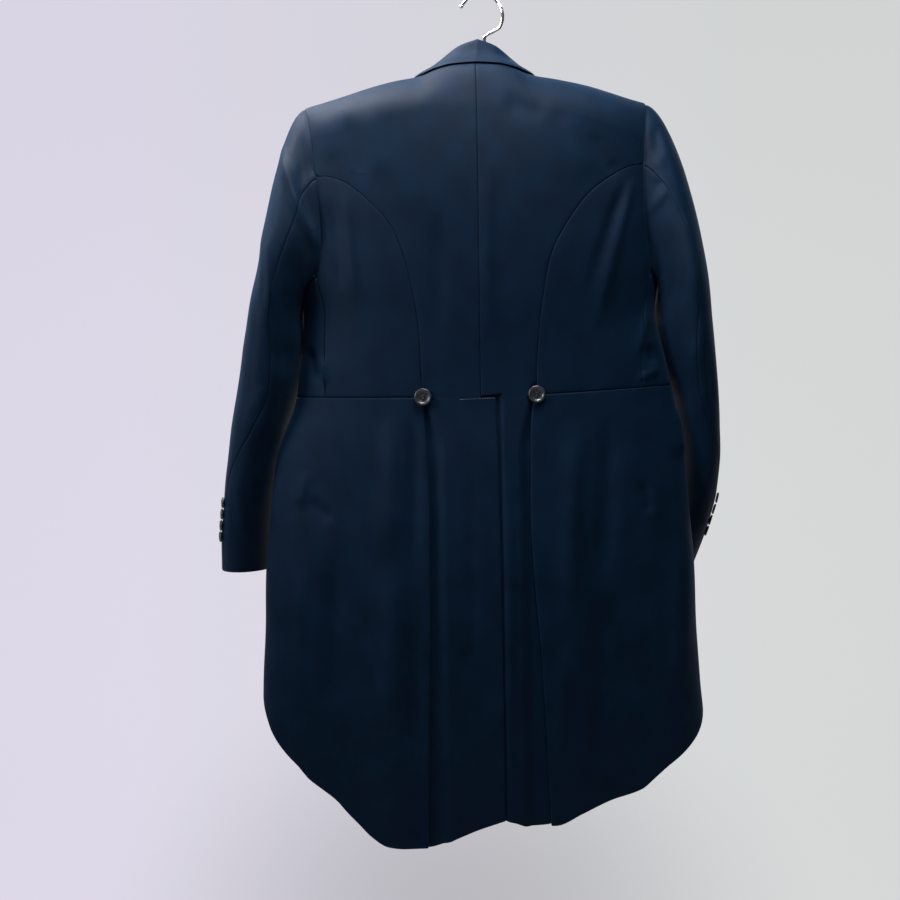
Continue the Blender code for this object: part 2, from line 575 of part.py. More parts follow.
def build_skirt(side):
    """The skirt from its back pleat round the side to the cutaway front."""
    path = pleat_path()
    span = np.concatenate([[0.010, 0.028], np.linspace(0.055, 0.30, 8),
                           [0.36, 0.42, 0.48, 0.55, 0.62, 0.69, 0.76, 0.82, SKIRT_SHARE]])
    rows = np.array([0.0, 0.03, 0.10, 0.20, 0.32, 0.45, 0.58, 0.70, 0.82, 0.92, 1.0])
    middle = SKIRT_CLOTH / 2

    def place(share, v):
        lift = lift_of[side](np.abs(share))
        top = WAIST - SEAM_GAP + lift
        fold = pleat_fold[side](top)
        hem = skirt_hem[side](share)
        z = mix(top, hem, v)
        shift = pleat_fold[side](z) - fold
        return hull(side, share + shift * (1.0 - smooth((share - fold) / 0.16)), z)
    base = float(pleat_fold[side](WAIST))
    faces = []
    for face in (-1.0, 1.0):
        shares = [base + (along + across * face * middle) / HALF_ROUND
                  for along, _, across, _ in path]
        depths = [deep + square * face * middle for _, deep, _, square in path]
        shares += [base + reach for reach in span]
        depths += [middle - face * middle for _ in span]
        faces.append((np.array(shares), np.array(depths)))
    grids = []
    for shares, depths in faces:
        u, v = np.meshgrid(shares, rows)
        points = place(u, v)
        normal = surface_normals_of_hull(place, u, v)
        grids.append(points - normal * depths[None, :, None])
    add_sheet("skirt_" + NAMES[side], grids[1], grids[0], WOOL)


def surface_normals_of_hull(place, u, v):
    """Unit normals that point away from the middle of the body."""
    step = 0.0002
    along = place(u + step, v) - place(u - step, v)
    down = place(u, np.minimum(v + step, 1.0)) - place(u, np.maximum(v - step, 0.0))
    normal = np.cross(along, down)
    normal /= np.linalg.norm(normal, axis=-1, keepdims=True)
    points = place(u, v)
    facing = (normal[..., 0] * (points[..., 0] - COAT_X) + normal[..., 1] * points[..., 1])
    return normal * np.sign(facing)[..., None]


def armhole_ring(side, gap):
    """Points round the armhole and their turns, 0 at the shoulder and 90 at the back."""
    heights = np.concatenate([np.linspace(-0.150, -0.245, 14), np.linspace(-0.255, -0.372, 16)])
    corner = LEVELS[side][1]
    back = []
    for z in heights:
        seam = back_seam[side] if z > corner else side_seam[side]
        back.append(hull(side, seam(z) + gap / HALF_ROUND, np.array(z)))
    floor_share = np.linspace(float(side_seam[side](ARMHOLE_FLOOR)) + 0.004, 0.500, 7)
    front_rows = [(z, float(front_armhole(z))) for z in np.linspace(-0.3665, -0.150, 26)]
    floor_line = np.array(FRONT_ARMHOLE)[:-5:-1]
    floor_z = np.interp(floor_share, floor_line[:, 1], floor_line[:, 0])
    floor = [hull(side, np.array(s), np.array(z + gap)) for s, z in zip(floor_share, floor_z)]
    front = [hull(side, np.array(s - gap / HALF_ROUND), np.array(z)) for z, s in front_rows]
    tip = shoulder(side, SHOULDER_TIP + 0.0015, 0.0)
    points = np.array([tip] + back + floor + front + [tip])
    reach = np.concatenate([[0.0], np.cumsum(np.linalg.norm(np.diff(points, axis=0), axis=1))])
    foot = len(back) + 4
    turn = np.where(reach <= reach[foot], 180.0 * reach / reach[foot],
                    180.0 + 180.0 * (reach - reach[foot]) / (reach[-1] - reach[foot]))
    return turn, points


def sleeve_surface(side):
    """Surface of a sleeve over turn and row: rows 0 to 1 leave the armhole, then stations."""
    stations = SLEEVE_LEFT if side > 0 else SLEEVE_RIGHT
    ring_turn, ring = armhole_ring(side, SEAM_GAP + ARMHOLE_EASE)
    axis = [through(stations, k) for k in (1, 2, 3, 4)]
    first, last = stations[0][0], stations[-1][0]
    out, out_crown, back, down, down_crown = HEAD_PUSH[side]

    def station(turn, z):
        outward = axis[0](z) + axis[2](z) * np.cos(turn)
        return np.stack([COAT_X + side * outward, axis[1](z) + axis[3](z) * np.sin(turn),
                         z + 0.0 * turn], axis=-1)

    def place(turn, row):
        around = np.degrees(turn) % 360.0
        start = np.stack([np.interp(around, ring_turn, ring[:, k]) for k in range(3)], axis=-1)
        end = station(turn, first + 0.0 * turn)
        below = station(turn, first - 0.03 + 0.0 * turn)
        fall = (below - end) / 0.03
        height = (start[..., 2] - end[..., 2])[..., None]
        crown = 0.5 + 0.5 * np.cos(turn)
        push = np.stack([side * (out + out_crown * crown), back * np.sin(turn),
                         -down - down_crown * crown], axis=-1)
        one, two = start + push, end - fall * 0.45 * height
        t = np.clip(row, 0.0, 1.0)[..., None]
        head = ((1 - t) ** 3 * start + 3 * (1 - t) ** 2 * t * one + 3 * (1 - t) * t * t * two
                + t ** 3 * end)
        arm = station(turn, mix(first, last, np.clip(row - 1.0, 0.0, 1.0)))
        return np.where(row[..., None] < 1.0, head, arm)
    return place, first, last


def build_sleeve(side, part, count):
    """One of the two pieces of a sleeve, between the hindarm seam and the inseam."""
    place, first, last = sleeve_surface(side)
    rows = np.array([0.0, 0.06, 0.14, 0.25, 0.38, 0.52, 0.68, 0.84, 1.0, 1.15, 1.30, 1.45, 1.59,
                     1.70, 1.80, 1.90, 2.0])

    def turns_at(u, row):
        centre = axis_height(row, first, last)
        seam = np.radians(hindarm[side](centre))
        inseam = np.radians(INSEAM_TURN)
        gap = SEAM_GAP / 2 / 0.04
        if part == "topsleeve":
            return mix(seam - gap, inseam + gap, u)
        return mix(seam + gap, inseam + 2 * np.pi - gap, u)
    columns = np.linspace(0.0, 1.0, count)
    u, v = np.meshgrid(columns, rows)
    turn = turns_at(u, v)
    points = place(turn, v)
    step = 0.0006
    along = place(turn + step, v) - place(turn - step, v)
    down = place(turn, np.minimum(v + step, 2.0)) - place(turn, np.maximum(v - step, 0.0))
    normal = np.cross(along, down)
    normal /= np.linalg.norm(normal, axis=-1, keepdims=True)
    sample = normal[-3, count // 2]
    centre = place(turn[-3, count // 2] + np.pi, v[-3, count // 2])
    if np.dot(sample, points[-3, count // 2] - centre) < 0:
        normal = -normal
    add_sheet(part + "_" + NAMES[side], points, points - normal * SLEEVE_CLOTH, WOOL)


def axis_height(row, first, last):
    """Height that the sleeve's middle has at a row."""
    return np.where(row < 1.0, mix(-0.20, first, np.clip(row, 0, 1)),
                    mix(first, last, np.clip(row - 1.0, 0, 1)))


def frame_at(place, column, row, outward, step=0.002):
    """Point, outward normal and two tangents of a surface."""
    u, v = np.array([column]), np.array([row])
    point = place(u, v)[0]
    along = place(u + step, v)[0] - place(u - step, v)[0]
    down = place(u, v + step)[0] - place(u, v - step)[0]
    normal = np.cross(along, down)
    normal /= np.linalg.norm(normal)
    if np.dot(normal, outward) < 0:
        normal = -normal
    first = along / np.linalg.norm(along)
    return point, normal, first, np.cross(normal, first)


def add_button(name, frame, radius, lift):
    """Round button with a raised rim, standing off its cloth."""
    point, normal, first, second = frame
    profile = [(0.55, 0.0), (0.92, 0.14), (1.00, 0.24), (0.97, 0.36), (0.84, 0.40), (0.70, 0.28),
               (0.30, 0.24)]
    rings = []
    for part, height in profile:
        centre = point + normal * (lift + height * radius)
        rings.append([centre + radius * part * (np.cos(t) * first + np.sin(t) * second)
                      for t in np.linspace(0, 2 * np.pi, 12, endpoint=False)])
    add_tube(name, rings, HORN)


def build_buttons():
    for side in SIDES:
        frame = frame_at(lambda u, v: hull(side, u, v), *BACK_BUTTONS[side], (0, 1, 0), 0.0004)
        add_button("back_button_" + NAMES[side], frame, BUTTON_RADIUS, BUTTON_LIFT)
    frame = frame_at(lambda u, v: hull(1, u, v), *FRONT_BUTTON, (0, -1, 0), 0.0004)
    add_button("front_button", frame, BUTTON_RADIUS, BUTTON_LIFT)
    for side in SIDES:
        place, first, last = sleeve_surface(side)
        for index in range(4):
            height = CUFF_BUTTON_FIRST[side] + CUFF_BUTTON_STEP * index
            row = 1.0 + (height - first) / (last - first)
            turn = np.radians(hindarm[side](height) - CUFF_BUTTON_INSET)
            outward = (side * np.cos(turn), np.sin(turn), 0)
            name = "cuff_button_%s_%d" % (NAMES[side], index + 1)
            add_button(name, frame_at(place, turn, row, outward), CUFF_BUTTON_RADIUS, CUFF_BUTTON_LIFT)


def off_shoulder(side, outward, degrees, lift):
    """Point held a little off the shoulder's surface, or under it."""
    turn, step = np.radians(degrees), 0.002
    along = shoulder(side, outward + step, turn) - shoulder(side, outward - step, turn)
    over = shoulder(side, outward, turn + step) - shoulder(side, outward, turn - step)
    normal = np.cross(along, over)
    normal /= np.linalg.norm(normal)
    if np.dot(normal, (0, np.sin(turn), np.cos(turn))) < 0:
        normal = -normal
    return shoulder(side, outward, turn) + normal * lift


def collar_section(along):
    """Points across the collar at a place along it, from the stand's foot over the roll to the
    leaf's edge. The place runs from -1 at the right end to 1 at the left."""
    side, t = (1 if along >= 0 else -1), abs(along)
    lean, forward, height = (float(through(COLLAR_ROLL, k)(t)) for k in (1, 2, 3))
    fold = np.array([COAT_X - COLLAR_LEAN * (1.0 - t) + side * lean, forward, height])
    foot = [float(through(COLLAR_STAND, k)(t)) for k in (1, 2)]
    edge = [float(through(COLLAR_LEAF, k)(t)) for k in (1, 2)]
    low = off_shoulder(side, *foot, -(BACK_CLOTH + COLLAR_SINK))
    end = off_shoulder(side, *edge, COLLAR_HALF + COLLAR_EASE)
    out = end - low
    out /= np.linalg.norm(out)
    up = np.cross(np.cross(out, fold - (low + end) / 2), out)
    up /= np.linalg.norm(up)
    return [low, mix(low, fold, 0.6), fold - out * 0.0020, fold + up * 0.0016, fold + out * 0.0026,
            mix(fold, end, 0.45) + up * 0.0035, mix(fold, end, 0.8) + up * 0.0022, end]


def build_collar():
    """Stand and fall of the collar as one folded band round the neck."""
    line = np.array([collar_section(t) for t in np.linspace(-1.0, 1.0, 25)])
    along, down = np.gradient(line, axis=0), np.gradient(line, axis=1)
    normal = np.cross(along, down)
    normal *= COLLAR_HALF / np.linalg.norm(normal, axis=-1, keepdims=True)
    add_sheet("collar", line + normal, line - normal, WOOL)


def build_hanger():
    """Arms that lie under the shoulders, with a level underside."""
    neck = through(HANGER_NECK)
    rings = []
    turns_over = np.radians([-15.0, -9.0, -3.0, 3.0, 9.0, 15.0])
    for place in np.linspace(-HANGER_REACH, HANGER_REACH, 25):
        outward = HANGER_MIDDLE + place
        side = 1 if outward >= 0 else -1
        far = abs(outward)
        seat = [shoulder(side, far, np.array(t))
                - np.array([0, 0, (BACK_CLOTH if t > 0 else FRONT_CLOTH) + 0.0008]) for t in turns_over]
        blend = smooth((far - 0.085) / 0.020)
        top = [np.array([p[0], p[1] * mix(0.55, 0.93, smooth(far / 0.12)),
                         mix(float(neck(abs(place))) - 0.004 * (p[1] / 0.018) ** 2, p[2], blend)])
               for p in seat]
        depth = mix(0.018, 0.011, far / HANGER_REACH)
        drop = [point - np.array([0, 0, depth]) for point in top[::-1]]
        drop[0][1] *= 0.8
        drop[-1][1] *= 0.8
        rings.append(top + drop)
    add_tube("hanger", rings, PLASTIC)


def build_hook():
    """Bent wire with a ball at its tip and a collar above the hanger."""
    turns_made = np.radians(np.linspace(32.0, 218.0, 22))
    bend = [(HOOK_RADIUS * np.cos(t), HOOK_WIRE - HOOK_RADIUS + HOOK_RADIUS * np.sin(t), HOOK_WIRE)
            for t in turns_made]
    tip = [(bend[0][0] + 0.6 * past, bend[0][1] - past, radius) for past, radius in HOOK_TIP]
    path = np.array(tip + bend + HOOK_SHANK)
    run = np.gradient(path[:, :2], axis=0)
    run[-4:] = (0.0, -1.0)
    run /= np.linalg.norm(run, axis=1, keepdims=True)
    rings = []
    for (x, z, radius), (run_x, run_z) in zip(path, run):
        rings.append([(x + radius * np.cos(t) * run_z, radius * np.sin(t), z - radius * np.cos(t) * run_x)
                      for t in np.linspace(0, 2 * np.pi, 8, endpoint=False)])
    add_tube("hook", rings, CHROME)


for item in list(bpy.data.objects):
    bpy.data.objects.remove(item, do_unlink=True)
for wearer_side in SIDES:
    build_back(wearer_side)
    build_sidebody(wearer_side)
    build_front(wearer_side)
    build_lapel(wearer_side)
    build_skirt(wearer_side)
    build_sleeve(wearer_side, "topsleeve", 11)
    build_sleeve(wearer_side, "undersleeve", 15)
build_collar()
build_buttons()
build_hanger()
build_hook()
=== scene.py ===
# Looks of the morning coat on its hanger: cloth, lining, buttons, hook, backdrop, light and camera.
# Metres; +Z up, the coat's front faces -Y, the wearer's left is +X.
import math
import bpy
import numpy as np
from mathutils import Matrix, Vector


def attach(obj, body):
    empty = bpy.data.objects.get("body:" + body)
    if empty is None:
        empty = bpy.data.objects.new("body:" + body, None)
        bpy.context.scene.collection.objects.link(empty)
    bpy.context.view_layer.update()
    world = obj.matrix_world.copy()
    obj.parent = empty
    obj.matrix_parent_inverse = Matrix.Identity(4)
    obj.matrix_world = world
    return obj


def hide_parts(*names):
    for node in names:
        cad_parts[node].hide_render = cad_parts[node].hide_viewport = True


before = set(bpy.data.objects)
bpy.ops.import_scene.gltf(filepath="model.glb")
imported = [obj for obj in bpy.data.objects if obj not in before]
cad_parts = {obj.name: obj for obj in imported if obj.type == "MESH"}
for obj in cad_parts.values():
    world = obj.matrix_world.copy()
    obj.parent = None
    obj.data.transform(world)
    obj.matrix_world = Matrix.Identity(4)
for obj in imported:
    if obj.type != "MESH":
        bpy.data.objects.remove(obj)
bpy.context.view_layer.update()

BODY = "root"

# the coat's middle, beside the hook's
COAT_X = 0.01
# height over which the shoulders round off, and how square the body's sections are
ROUNDING = 0.06
SECTION_POWER = 2.4
# small step for slopes
FINE_STEP = 0.0004
# half width and half depth of the section along which shares are measured
NOMINAL_WIDTH = 0.26
NOMINAL_DEPTH = 0.07
SEAM_GAP = 0.00012
WAIST = -0.529
SHOULDER_TIP = 0.2225
# half width of the neck, and its drop below the shoulder ridge at the back
NECK_HALF = 0.0707
NECK_DROP = 0.0205
# thicknesses of the cloth with its lining, then the gaps between layers
BACK_CLOTH = 0.002
SLEEVE_CLOTH = 0.002
FRONT_CLOTH = 0.0026
SKIRT_CLOTH = 0.0018
LAYER_GAP = 0.0004
PLEAT_DEPTH = 0.03
PLEAT_EASE = 0.001
FLAP_EASE = 0.0002
FLUTE_RISE = 0.005
# the skirt's length round the body, as a share of half the body
SKIRT_SHARE = 0.857
SKIRT_END = -1.09
ARMHOLE_FLOOR = -0.3741
ARMHOLE_EASE = 0.0008
VENT_EDGE = {1: -0.0205, -1: -0.012}
LAPEL_BOTTOM = -0.452
LAPEL_EASE = 0.0004
LAPEL_ROLL = 0.003
LAPEL_INSET = 0.004
LAPEL_THINNER = 0.0004
COLLAR_HALF = 0.0011
COLLAR_EASE = 0.0009
COLLAR_SINK = 0.0054
COLLAR_LEAN = 0.0037

# height, half width of the wearer's left, half width of the right
WIDTHS = [
    (-0.08, 0.232, 0.232), (-0.151, 0.232, 0.232), (-0.20, 0.234, 0.234),
    (-0.28, 0.238, 0.238), (-0.34, 0.238, 0.238), (-0.376, 0.236, 0.236),
    (-0.42, 0.228, 0.23), (-0.46, 0.23, 0.238), (-0.49, 0.235, 0.246),
    (-0.525, 0.24, 0.253), (-0.60, 0.2654, 0.2654), (-0.645, 0.2726, 0.27),
    (-0.69, 0.278, 0.2735), (-0.7425, 0.2834, 0.2769), (-0.82, 0.286, 0.28),
    (-0.90, 0.29, 0.2845), (-0.95, 0.291, 0.288), (-1.10, 0.29, 0.286),
]
# height, half depth to the back, half depth to the front
DEPTHS = [
    (-0.08, 0.072, 0.062), (-0.105, 0.07, 0.065), (-0.13, 0.0685, 0.0685),
    (-0.17, 0.075, 0.075), (-0.25, 0.08, 0.082), (-0.35, 0.076, 0.08),
    (-0.45, 0.067, 0.071), (-0.53, 0.062, 0.064), (-0.62, 0.066, 0.066),
    (-0.75, 0.071, 0.068), (-0.90, 0.07, 0.066), (-1.10, 0.064, 0.06),
]
# distance from the middle, height of the shoulder ridge
RIDGE_LINE = [
    (0.00, -0.085), (0.03, -0.089), (0.05, -0.097), (0.0707, -0.1085),
    (0.1028, -0.1143), (0.1436, -0.1235), (0.1753, -0.1322), (0.2044, -0.1402),
    (0.2228, -0.1445), (0.24, -0.152),
]
# share round the body, rise of the waist seam on the left, on the right
WAIST_LIFTS = [
    (0.00, 0.00, 0.00), (0.15, 0.001, 0.003), (0.25, 0.0018, 0.0058),
    (0.36, 0.0034, 0.01), (0.50, 0.0065, 0.0148), (0.75, 0.006, 0.009),
    (1.00, 0.004, 0.004),
]
# height, share at the armhole's back edge and the curved back seam: left
BACK_SEAM_LEFT = [
    (-0.14, 0.453), (-0.15, 0.446), (-0.1769, 0.426), (-0.2053, 0.411),
    (-0.2464, 0.395), (-0.2485, 0.367), (-0.2525, 0.342), (-0.26, 0.314),
    (-0.27, 0.288), (-0.283, 0.261), (-0.30, 0.23), (-0.32, 0.203),
    (-0.345, 0.183), (-0.374, 0.169), (-0.41, 0.16), (-0.45, 0.151),
    (-0.49, 0.144), (-0.53, 0.137),
]
# height, share at the same edge: right
BACK_SEAM_RIGHT = [
    (-0.14, 0.453), (-0.15, 0.4485), (-0.176, 0.437), (-0.2043, 0.425),
    (-0.2352, 0.413), (-0.2385, 0.388), (-0.243, 0.364), (-0.25, 0.338),
    (-0.26, 0.307), (-0.2739, 0.272), (-0.295, 0.236), (-0.32, 0.203),
    (-0.345, 0.177), (-0.374, 0.162), (-0.41, 0.154), (-0.45, 0.142),
    (-0.49, 0.13), (-0.53, 0.125),
]
# height, share at the armhole's lower back edge and the side seam: left, right
SIDE_SEAM = [
    (-0.23, 0.402, 0.414), (-0.2464, 0.395, 0.411), (-0.277, 0.387, 0.409),
    (-0.309, 0.384, 0.413), (-0.34, 0.386, 0.422), (-0.36, 0.391, 0.429),
    (-0.374, 0.399, 0.433), (-0.41, 0.396, 0.427), (-0.45, 0.396, 0.411),
    (-0.49, 0.386, 0.385), (-0.53, 0.375, 0.368),
]
# height, share at the armhole's front edge
FRONT_ARMHOLE = [
    (-0.14, 0.548), (-0.15, 0.554), (-0.17, 0.564), (-0.20, 0.576),
    (-0.235, 0.586), (-0.265, 0.589), (-0.30, 0.585), (-0.325, 0.575),
    (-0.345, 0.557), (-0.358, 0.532), (-0.367, 0.50), (-0.3718, 0.466),
    (-0.3736, 0.438), (-0.3741, 0.415),
]
# height, distance of the front edge from the middle
FRONT_EDGE = [
    (-0.10, 0.0707), (-0.13, 0.066), (-0.20, 0.056), (-0.30, 0.04),
    (-0.40, 0.02), (-0.46, 0.002), (-0.50, -0.012), (-0.515, -0.01),
    (-0.529, 0.00),
]
# height, share of the pleat's outer fold: left, right
PLEAT_FOLD = [
    (-0.529, 0.135, 0.123), (-0.5495, 0.131, 0.113), (-0.6045, 0.117, 0.106),
    (-0.6973, 0.1085, 0.101), (-0.7705, 0.1075, 0.106), (-0.8389, 0.1085, 0.114),
    (-0.962, 0.112, 0.121), (-1.0913, 0.117, 0.129),
]
# share, height of the skirt's hem: left
SKIRT_HEM_LEFT = [
    (0.08, -1.0905), (0.117, -1.0915), (0.172, -1.0926), (0.205, -1.0905),
    (0.236, -1.0793), (0.259, -1.0645), (0.281, -1.0497), (0.30, -1.035),
    (0.326, -1.0207), (0.352, -1.0064), (0.369, -0.9921), (0.391, -0.9781),
    (0.431, -0.9497), (0.446, -0.9356), (0.50, -0.895), (0.60, -0.815),
    (0.70, -0.735), (0.80, -0.66), (0.90, -0.595), (0.96, -0.565),
    (1.00, -0.552),
]
# share, height of the skirt's hem: right
SKIRT_HEM_RIGHT = [
    (0.08, -1.065), (0.131, -1.0661), (0.183, -1.0522), (0.248, -1.0388),
    (0.314, -1.0262), (0.338, -1.0125), (0.361, -0.9989), (0.388, -0.9857),
    (0.414, -0.9724), (0.439, -0.959), (0.50, -0.915), (0.60, -0.83),
    (0.70, -0.745), (0.80, -0.665), (0.90, -0.597), (0.96, -0.565),
    (1.00, -0.552),
]
# distance outward from the middle, height of the tail strip's hem: left, right
STRIP_HEM = [
    (-0.03, -1.056, -1.052), (-0.0192, -1.0596, -1.054), (0.0097, -1.0692, -1.057),
    (0.0335, -1.0789, -1.0615), (0.0528, -1.087, -1.067), (0.0749, -1.0925, -1.066),
    (0.12, -1.088, -1.035),
]
# height, middle of the sleeve outward, forward, half width, half depth: left
SLEEVE_LEFT = [
    (-0.42, 0.2672, -0.006, 0.0332, 0.077), (-0.47, 0.2714, -0.011, 0.0384, 0.074),
    (-0.517, 0.2805, -0.017, 0.039, 0.071), (-0.564, 0.293, -0.023, 0.036, 0.068),
    (-0.612, 0.3027, -0.031, 0.0337, 0.064), (-0.66, 0.3107, -0.04, 0.0332, 0.06),
    (-0.708, 0.317, -0.05, 0.0335, 0.056), (-0.752, 0.3198, -0.059, 0.0333, 0.053),
]
# the same for the right sleeve, whose lower arm bends to the front
SLEEVE_RIGHT = [
    (-0.42, 0.269, -0.006, 0.0335, 0.079), (-0.47, 0.276, -0.012, 0.031, 0.079),
    (-0.517, 0.2845, -0.02, 0.0278, 0.077), (-0.564, 0.2905, -0.03, 0.026, 0.073),
    (-0.612, 0.295, -0.043, 0.025, 0.068), (-0.656, 0.2945, -0.057, 0.025, 0.063),
    (-0.69, 0.2885, -0.07, 0.0255, 0.059), (-0.724, 0.2805, -0.085, 0.0262, 0.056),
    (-0.756, 0.271, -0.098, 0.027, 0.054),
]
# height, turn round the sleeve of the hindarm seam in degrees, 0 outward and 90 back: left, right
HINDARM = [
    (-0.20, 81.0, 74.0), (-0.246, 85.0, 76.0), (-0.29, 97.0, 73.0), (-0.347, 101.0, 72.0),
    (-0.383, 100.0, 76.0), (-0.42, 100.0, 84.0), (-0.46, 102.0, 98.0), (-0.52, 108.0, 108.0),
    (-0.57, 92.0, 92.0), (-0.60, 66.0, 66.0), (-0.63, 49.0, 49.0), (-0.66, 45.0, 45.0),
    (-0.75, 45.0, 45.0),
]
INSEAM_TURN = -70.0
# push of the sleeve's head off the armhole: outward, more outward at the crown, back,
# down, more down at the crown
HEAD_PUSH = {1: (0.01, 0.021, 0.02, 0.004, 0.01), -1: (0.01, 0.024, 0.02, 0.004, 0.007)}

# place across the lapel, height of its top edge
LAPEL_TOP = [(0.00, -0.141), (0.35, -0.15), (0.55, -0.15), (1.00, -0.143)]
# height, width of the lapel
LAPEL_WIDTH = [
    (-0.452, 0.006), (-0.42, 0.034), (-0.36, 0.058), (-0.28, 0.076), (-0.20, 0.088),
    (-0.14, 0.096),
]
# turn along the collar, then the roll line's place, then where the leaf ends and
# where the stand starts, each as distance outward and turn over the shoulder ridge
COLLAR_ROLL = [
    (0.00, 0.00, 0.035, -0.0741), (0.17, 0.019, 0.032, -0.08),
    (0.35, 0.04, 0.017, -0.0895), (0.50, 0.055, 0.00, -0.095),
    (0.65, 0.0625, -0.021, -0.103), (0.82, 0.064, -0.0446, -0.113),
    (1.00, 0.0635, -0.064, -0.13),
]
COLLAR_LEAF = [
    (0.00, 0.00, 52.5), (0.17, 0.03, 49.0), (0.35, 0.056, 38.0),
    (0.50, 0.078, 6.0), (0.65, 0.088, -20.0), (0.82, 0.095, -42.0), (1.00, 0.10, -64.0),
]
COLLAR_STAND = [
    (0.00, 0.00, 62.0), (0.17, 0.0245, 57.0), (0.35, 0.045, 44.0),
    (0.50, 0.0615, 10.0), (0.65, 0.0625, -24.0), (0.82, 0.0615, -44.0), (1.00, 0.06, -64.0),
]
# outward from the hanger's middle, height of its top before it meets the shoulder
HANGER_NECK = [
    (0.00, -0.0672), (0.012, -0.069), (0.024, -0.083), (0.034, -0.101),
    (0.043, -0.1155), (0.06, -0.1215), (0.08, -0.1215), (0.10, -0.118),
]
HANGER_MIDDLE = -0.014
HANGER_REACH = 0.196
# the hanger's depth and its share of the shoulder's thickness, each in the middle and farther out
HANGER_DEPTH = (0.018, 0.011)
HANGER_NARROW = (0.55, 0.93)
# how far it keeps off the cloth, and the lean of its sides in degrees
HANGER_EASE = 0.0012
HANGER_LEAN = 15.0
HOOK_RADIUS = 0.0286
HOOK_WIRE = 0.00225
# sideways place and height of the hook's shank below its bend
HOOK_SHANK = [(-0.016, -0.0465), (-0.009, -0.05), (-0.005, -0.0532), (-0.004, -0.057),
              (-0.004, -0.0605), (-0.004, -0.064)]
# radius of the ball on the wire's tip, its middle past the end, and where it starts and stops
HOOK_BALL = (0.0029, 0.0011, -0.002, 0.004)
# height and radius of the ferrule round the shank
FERRULE = [(-0.0602, 0.003), (-0.0606, 0.0038), (-0.0612, 0.0042), (-0.0655, 0.0042),
           (-0.0662, 0.0041), (-0.0665, 0.0037)]
BUTTON_RADIUS = 0.01085
BUTTON_LIFT = 0.0006
CUFF_BUTTON_RADIUS = 0.0072
CUFF_BUTTON_LIFT = 0.0003
CUFF_BUTTON_STEP = 0.0152
CUFF_BUTTON_FIRST = {1: -0.705, -1: -0.709}
CUFF_BUTTON_INSET = 12.0
# share round the body and height of each button at the back of the waist
BACK_BUTTONS = {1: (0.1362, -0.5278), -1: (0.125, -0.5264)}
FRONT_BUTTON = (0.9995, -0.50)


def through(rows, column=1):
    """Smooth curve with no overshoot through a table's knots."""
    table = np.array(rows, float)
    order = np.argsort(table[:, 0])
    knots, values = table[order, 0], table[order, column]
    step = np.diff(knots)
    slope = np.diff(values) / step
    tangent = np.zeros_like(values)
    tangent[0], tangent[-1] = slope[0], slope[-1]
    for k in range(1, len(knots) - 1):
        if slope[k - 1] * slope[k] > 0:
            one, two = 2 * step[k] + step[k - 1], step[k] + 2 * step[k - 1]
            tangent[k] = (one + two) / (one / slope[k - 1] + two / slope[k])

    def value(at):
        at = np.clip(at, knots[0], knots[-1])
        k = np.clip(np.searchsorted(knots, at) - 1, 0, len(step) - 1)
        t = (at - knots[k]) / step[k]
        return (values[k] * (1 + 2 * t) * (1 - t) ** 2 + tangent[k] * step[k] * t * (1 - t) ** 2
                + values[k + 1] * t * t * (3 - 2 * t) + tangent[k + 1] * step[k] * t * t * (t - 1))
    return value


def unit(vectors):
    return vectors / np.linalg.norm(vectors, axis=-1, keepdims=True)


def reach_along(points):
    """Length run from the first point to each point of a line."""
    return np.concatenate([[0.0], np.cumsum(np.linalg.norm(np.diff(points, axis=0), axis=1))])


def smooth(t):
    t = np.clip(t, 0.0, 1.0)
    return t * t * (3.0 - 2.0 * t)


def mix(a, b, t):
    return a + (b - a) * t


turns = np.linspace(0.0, np.pi, 2001)
ACROSS = np.abs(np.sin(turns)) ** (2 / SECTION_POWER)
ALONG = np.sign(np.cos(turns)) * np.abs(np.cos(turns)) ** (2 / SECTION_POWER)
lengths = np.hypot(np.diff(NOMINAL_WIDTH * ACROSS), np.diff(NOMINAL_DEPTH * ALONG))
SHARES = np.concatenate([[0.0], np.cumsum(lengths)])
HALF_ROUND = SHARES[-1]
SHARES = SHARES / HALF_ROUND

SIDES = (1, -1)
NAMES = {1: "left", -1: "right"}


def by_side(rows):
    """Curves of a table whose second column is the left side and third the right."""
    return {side: through(rows, 1 if side > 0 else 2) for side in SIDES}


width_of = by_side(WIDTHS)
back_depth = through(DEPTHS, 1)
front_depth = through(DEPTHS, 2)
ridge = through(RIDGE_LINE)
lift_of = by_side(WAIST_LIFTS)
back_seam = {1: through(BACK_SEAM_LEFT), -1: through(BACK_SEAM_RIGHT)}
side_seam = by_side(SIDE_SEAM)
front_armhole = through(FRONT_ARMHOLE)
front_edge = through(FRONT_EDGE)
pleat_fold = by_side(PLEAT_FOLD)
skirt_hem = {1: through(SKIRT_HEM_LEFT), -1: through(SKIRT_HEM_RIGHT)}
strip_hem = by_side(STRIP_HEM)
hindarm = by_side(HINDARM)


def share_across(outward, z, side, front=False):
    """Share round the body at a distance outward from the middle."""
    half = len(turns) // 2
    part = np.clip(np.abs(outward) / width_of[side](z), 0.0, 1.0)
    share = np.sign(outward) * np.interp(part, ACROSS[:half + 1], SHARES[:half + 1])
    return 1.0 - share if front else share


def outward_of(side, share, z):
    inner = np.where(share > 1.0, 2.0 - share, np.abs(share))
    sign = np.where((share < 0.0) | (share > 1.0), -1.0, 1.0)
    return sign * width_of[side](z) * np.interp(inner, SHARES, ACROSS)


def flute(share, z):
    """Soft folds that deepen down the skirt."""
    growth = smooth((-0.56 - z) / 0.34)
    wave = np.cos(2 * np.pi * (share - 0.40) / 0.26)
    return FLUTE_RISE * growth * wave * smooth((share - 0.13) / 0.08)


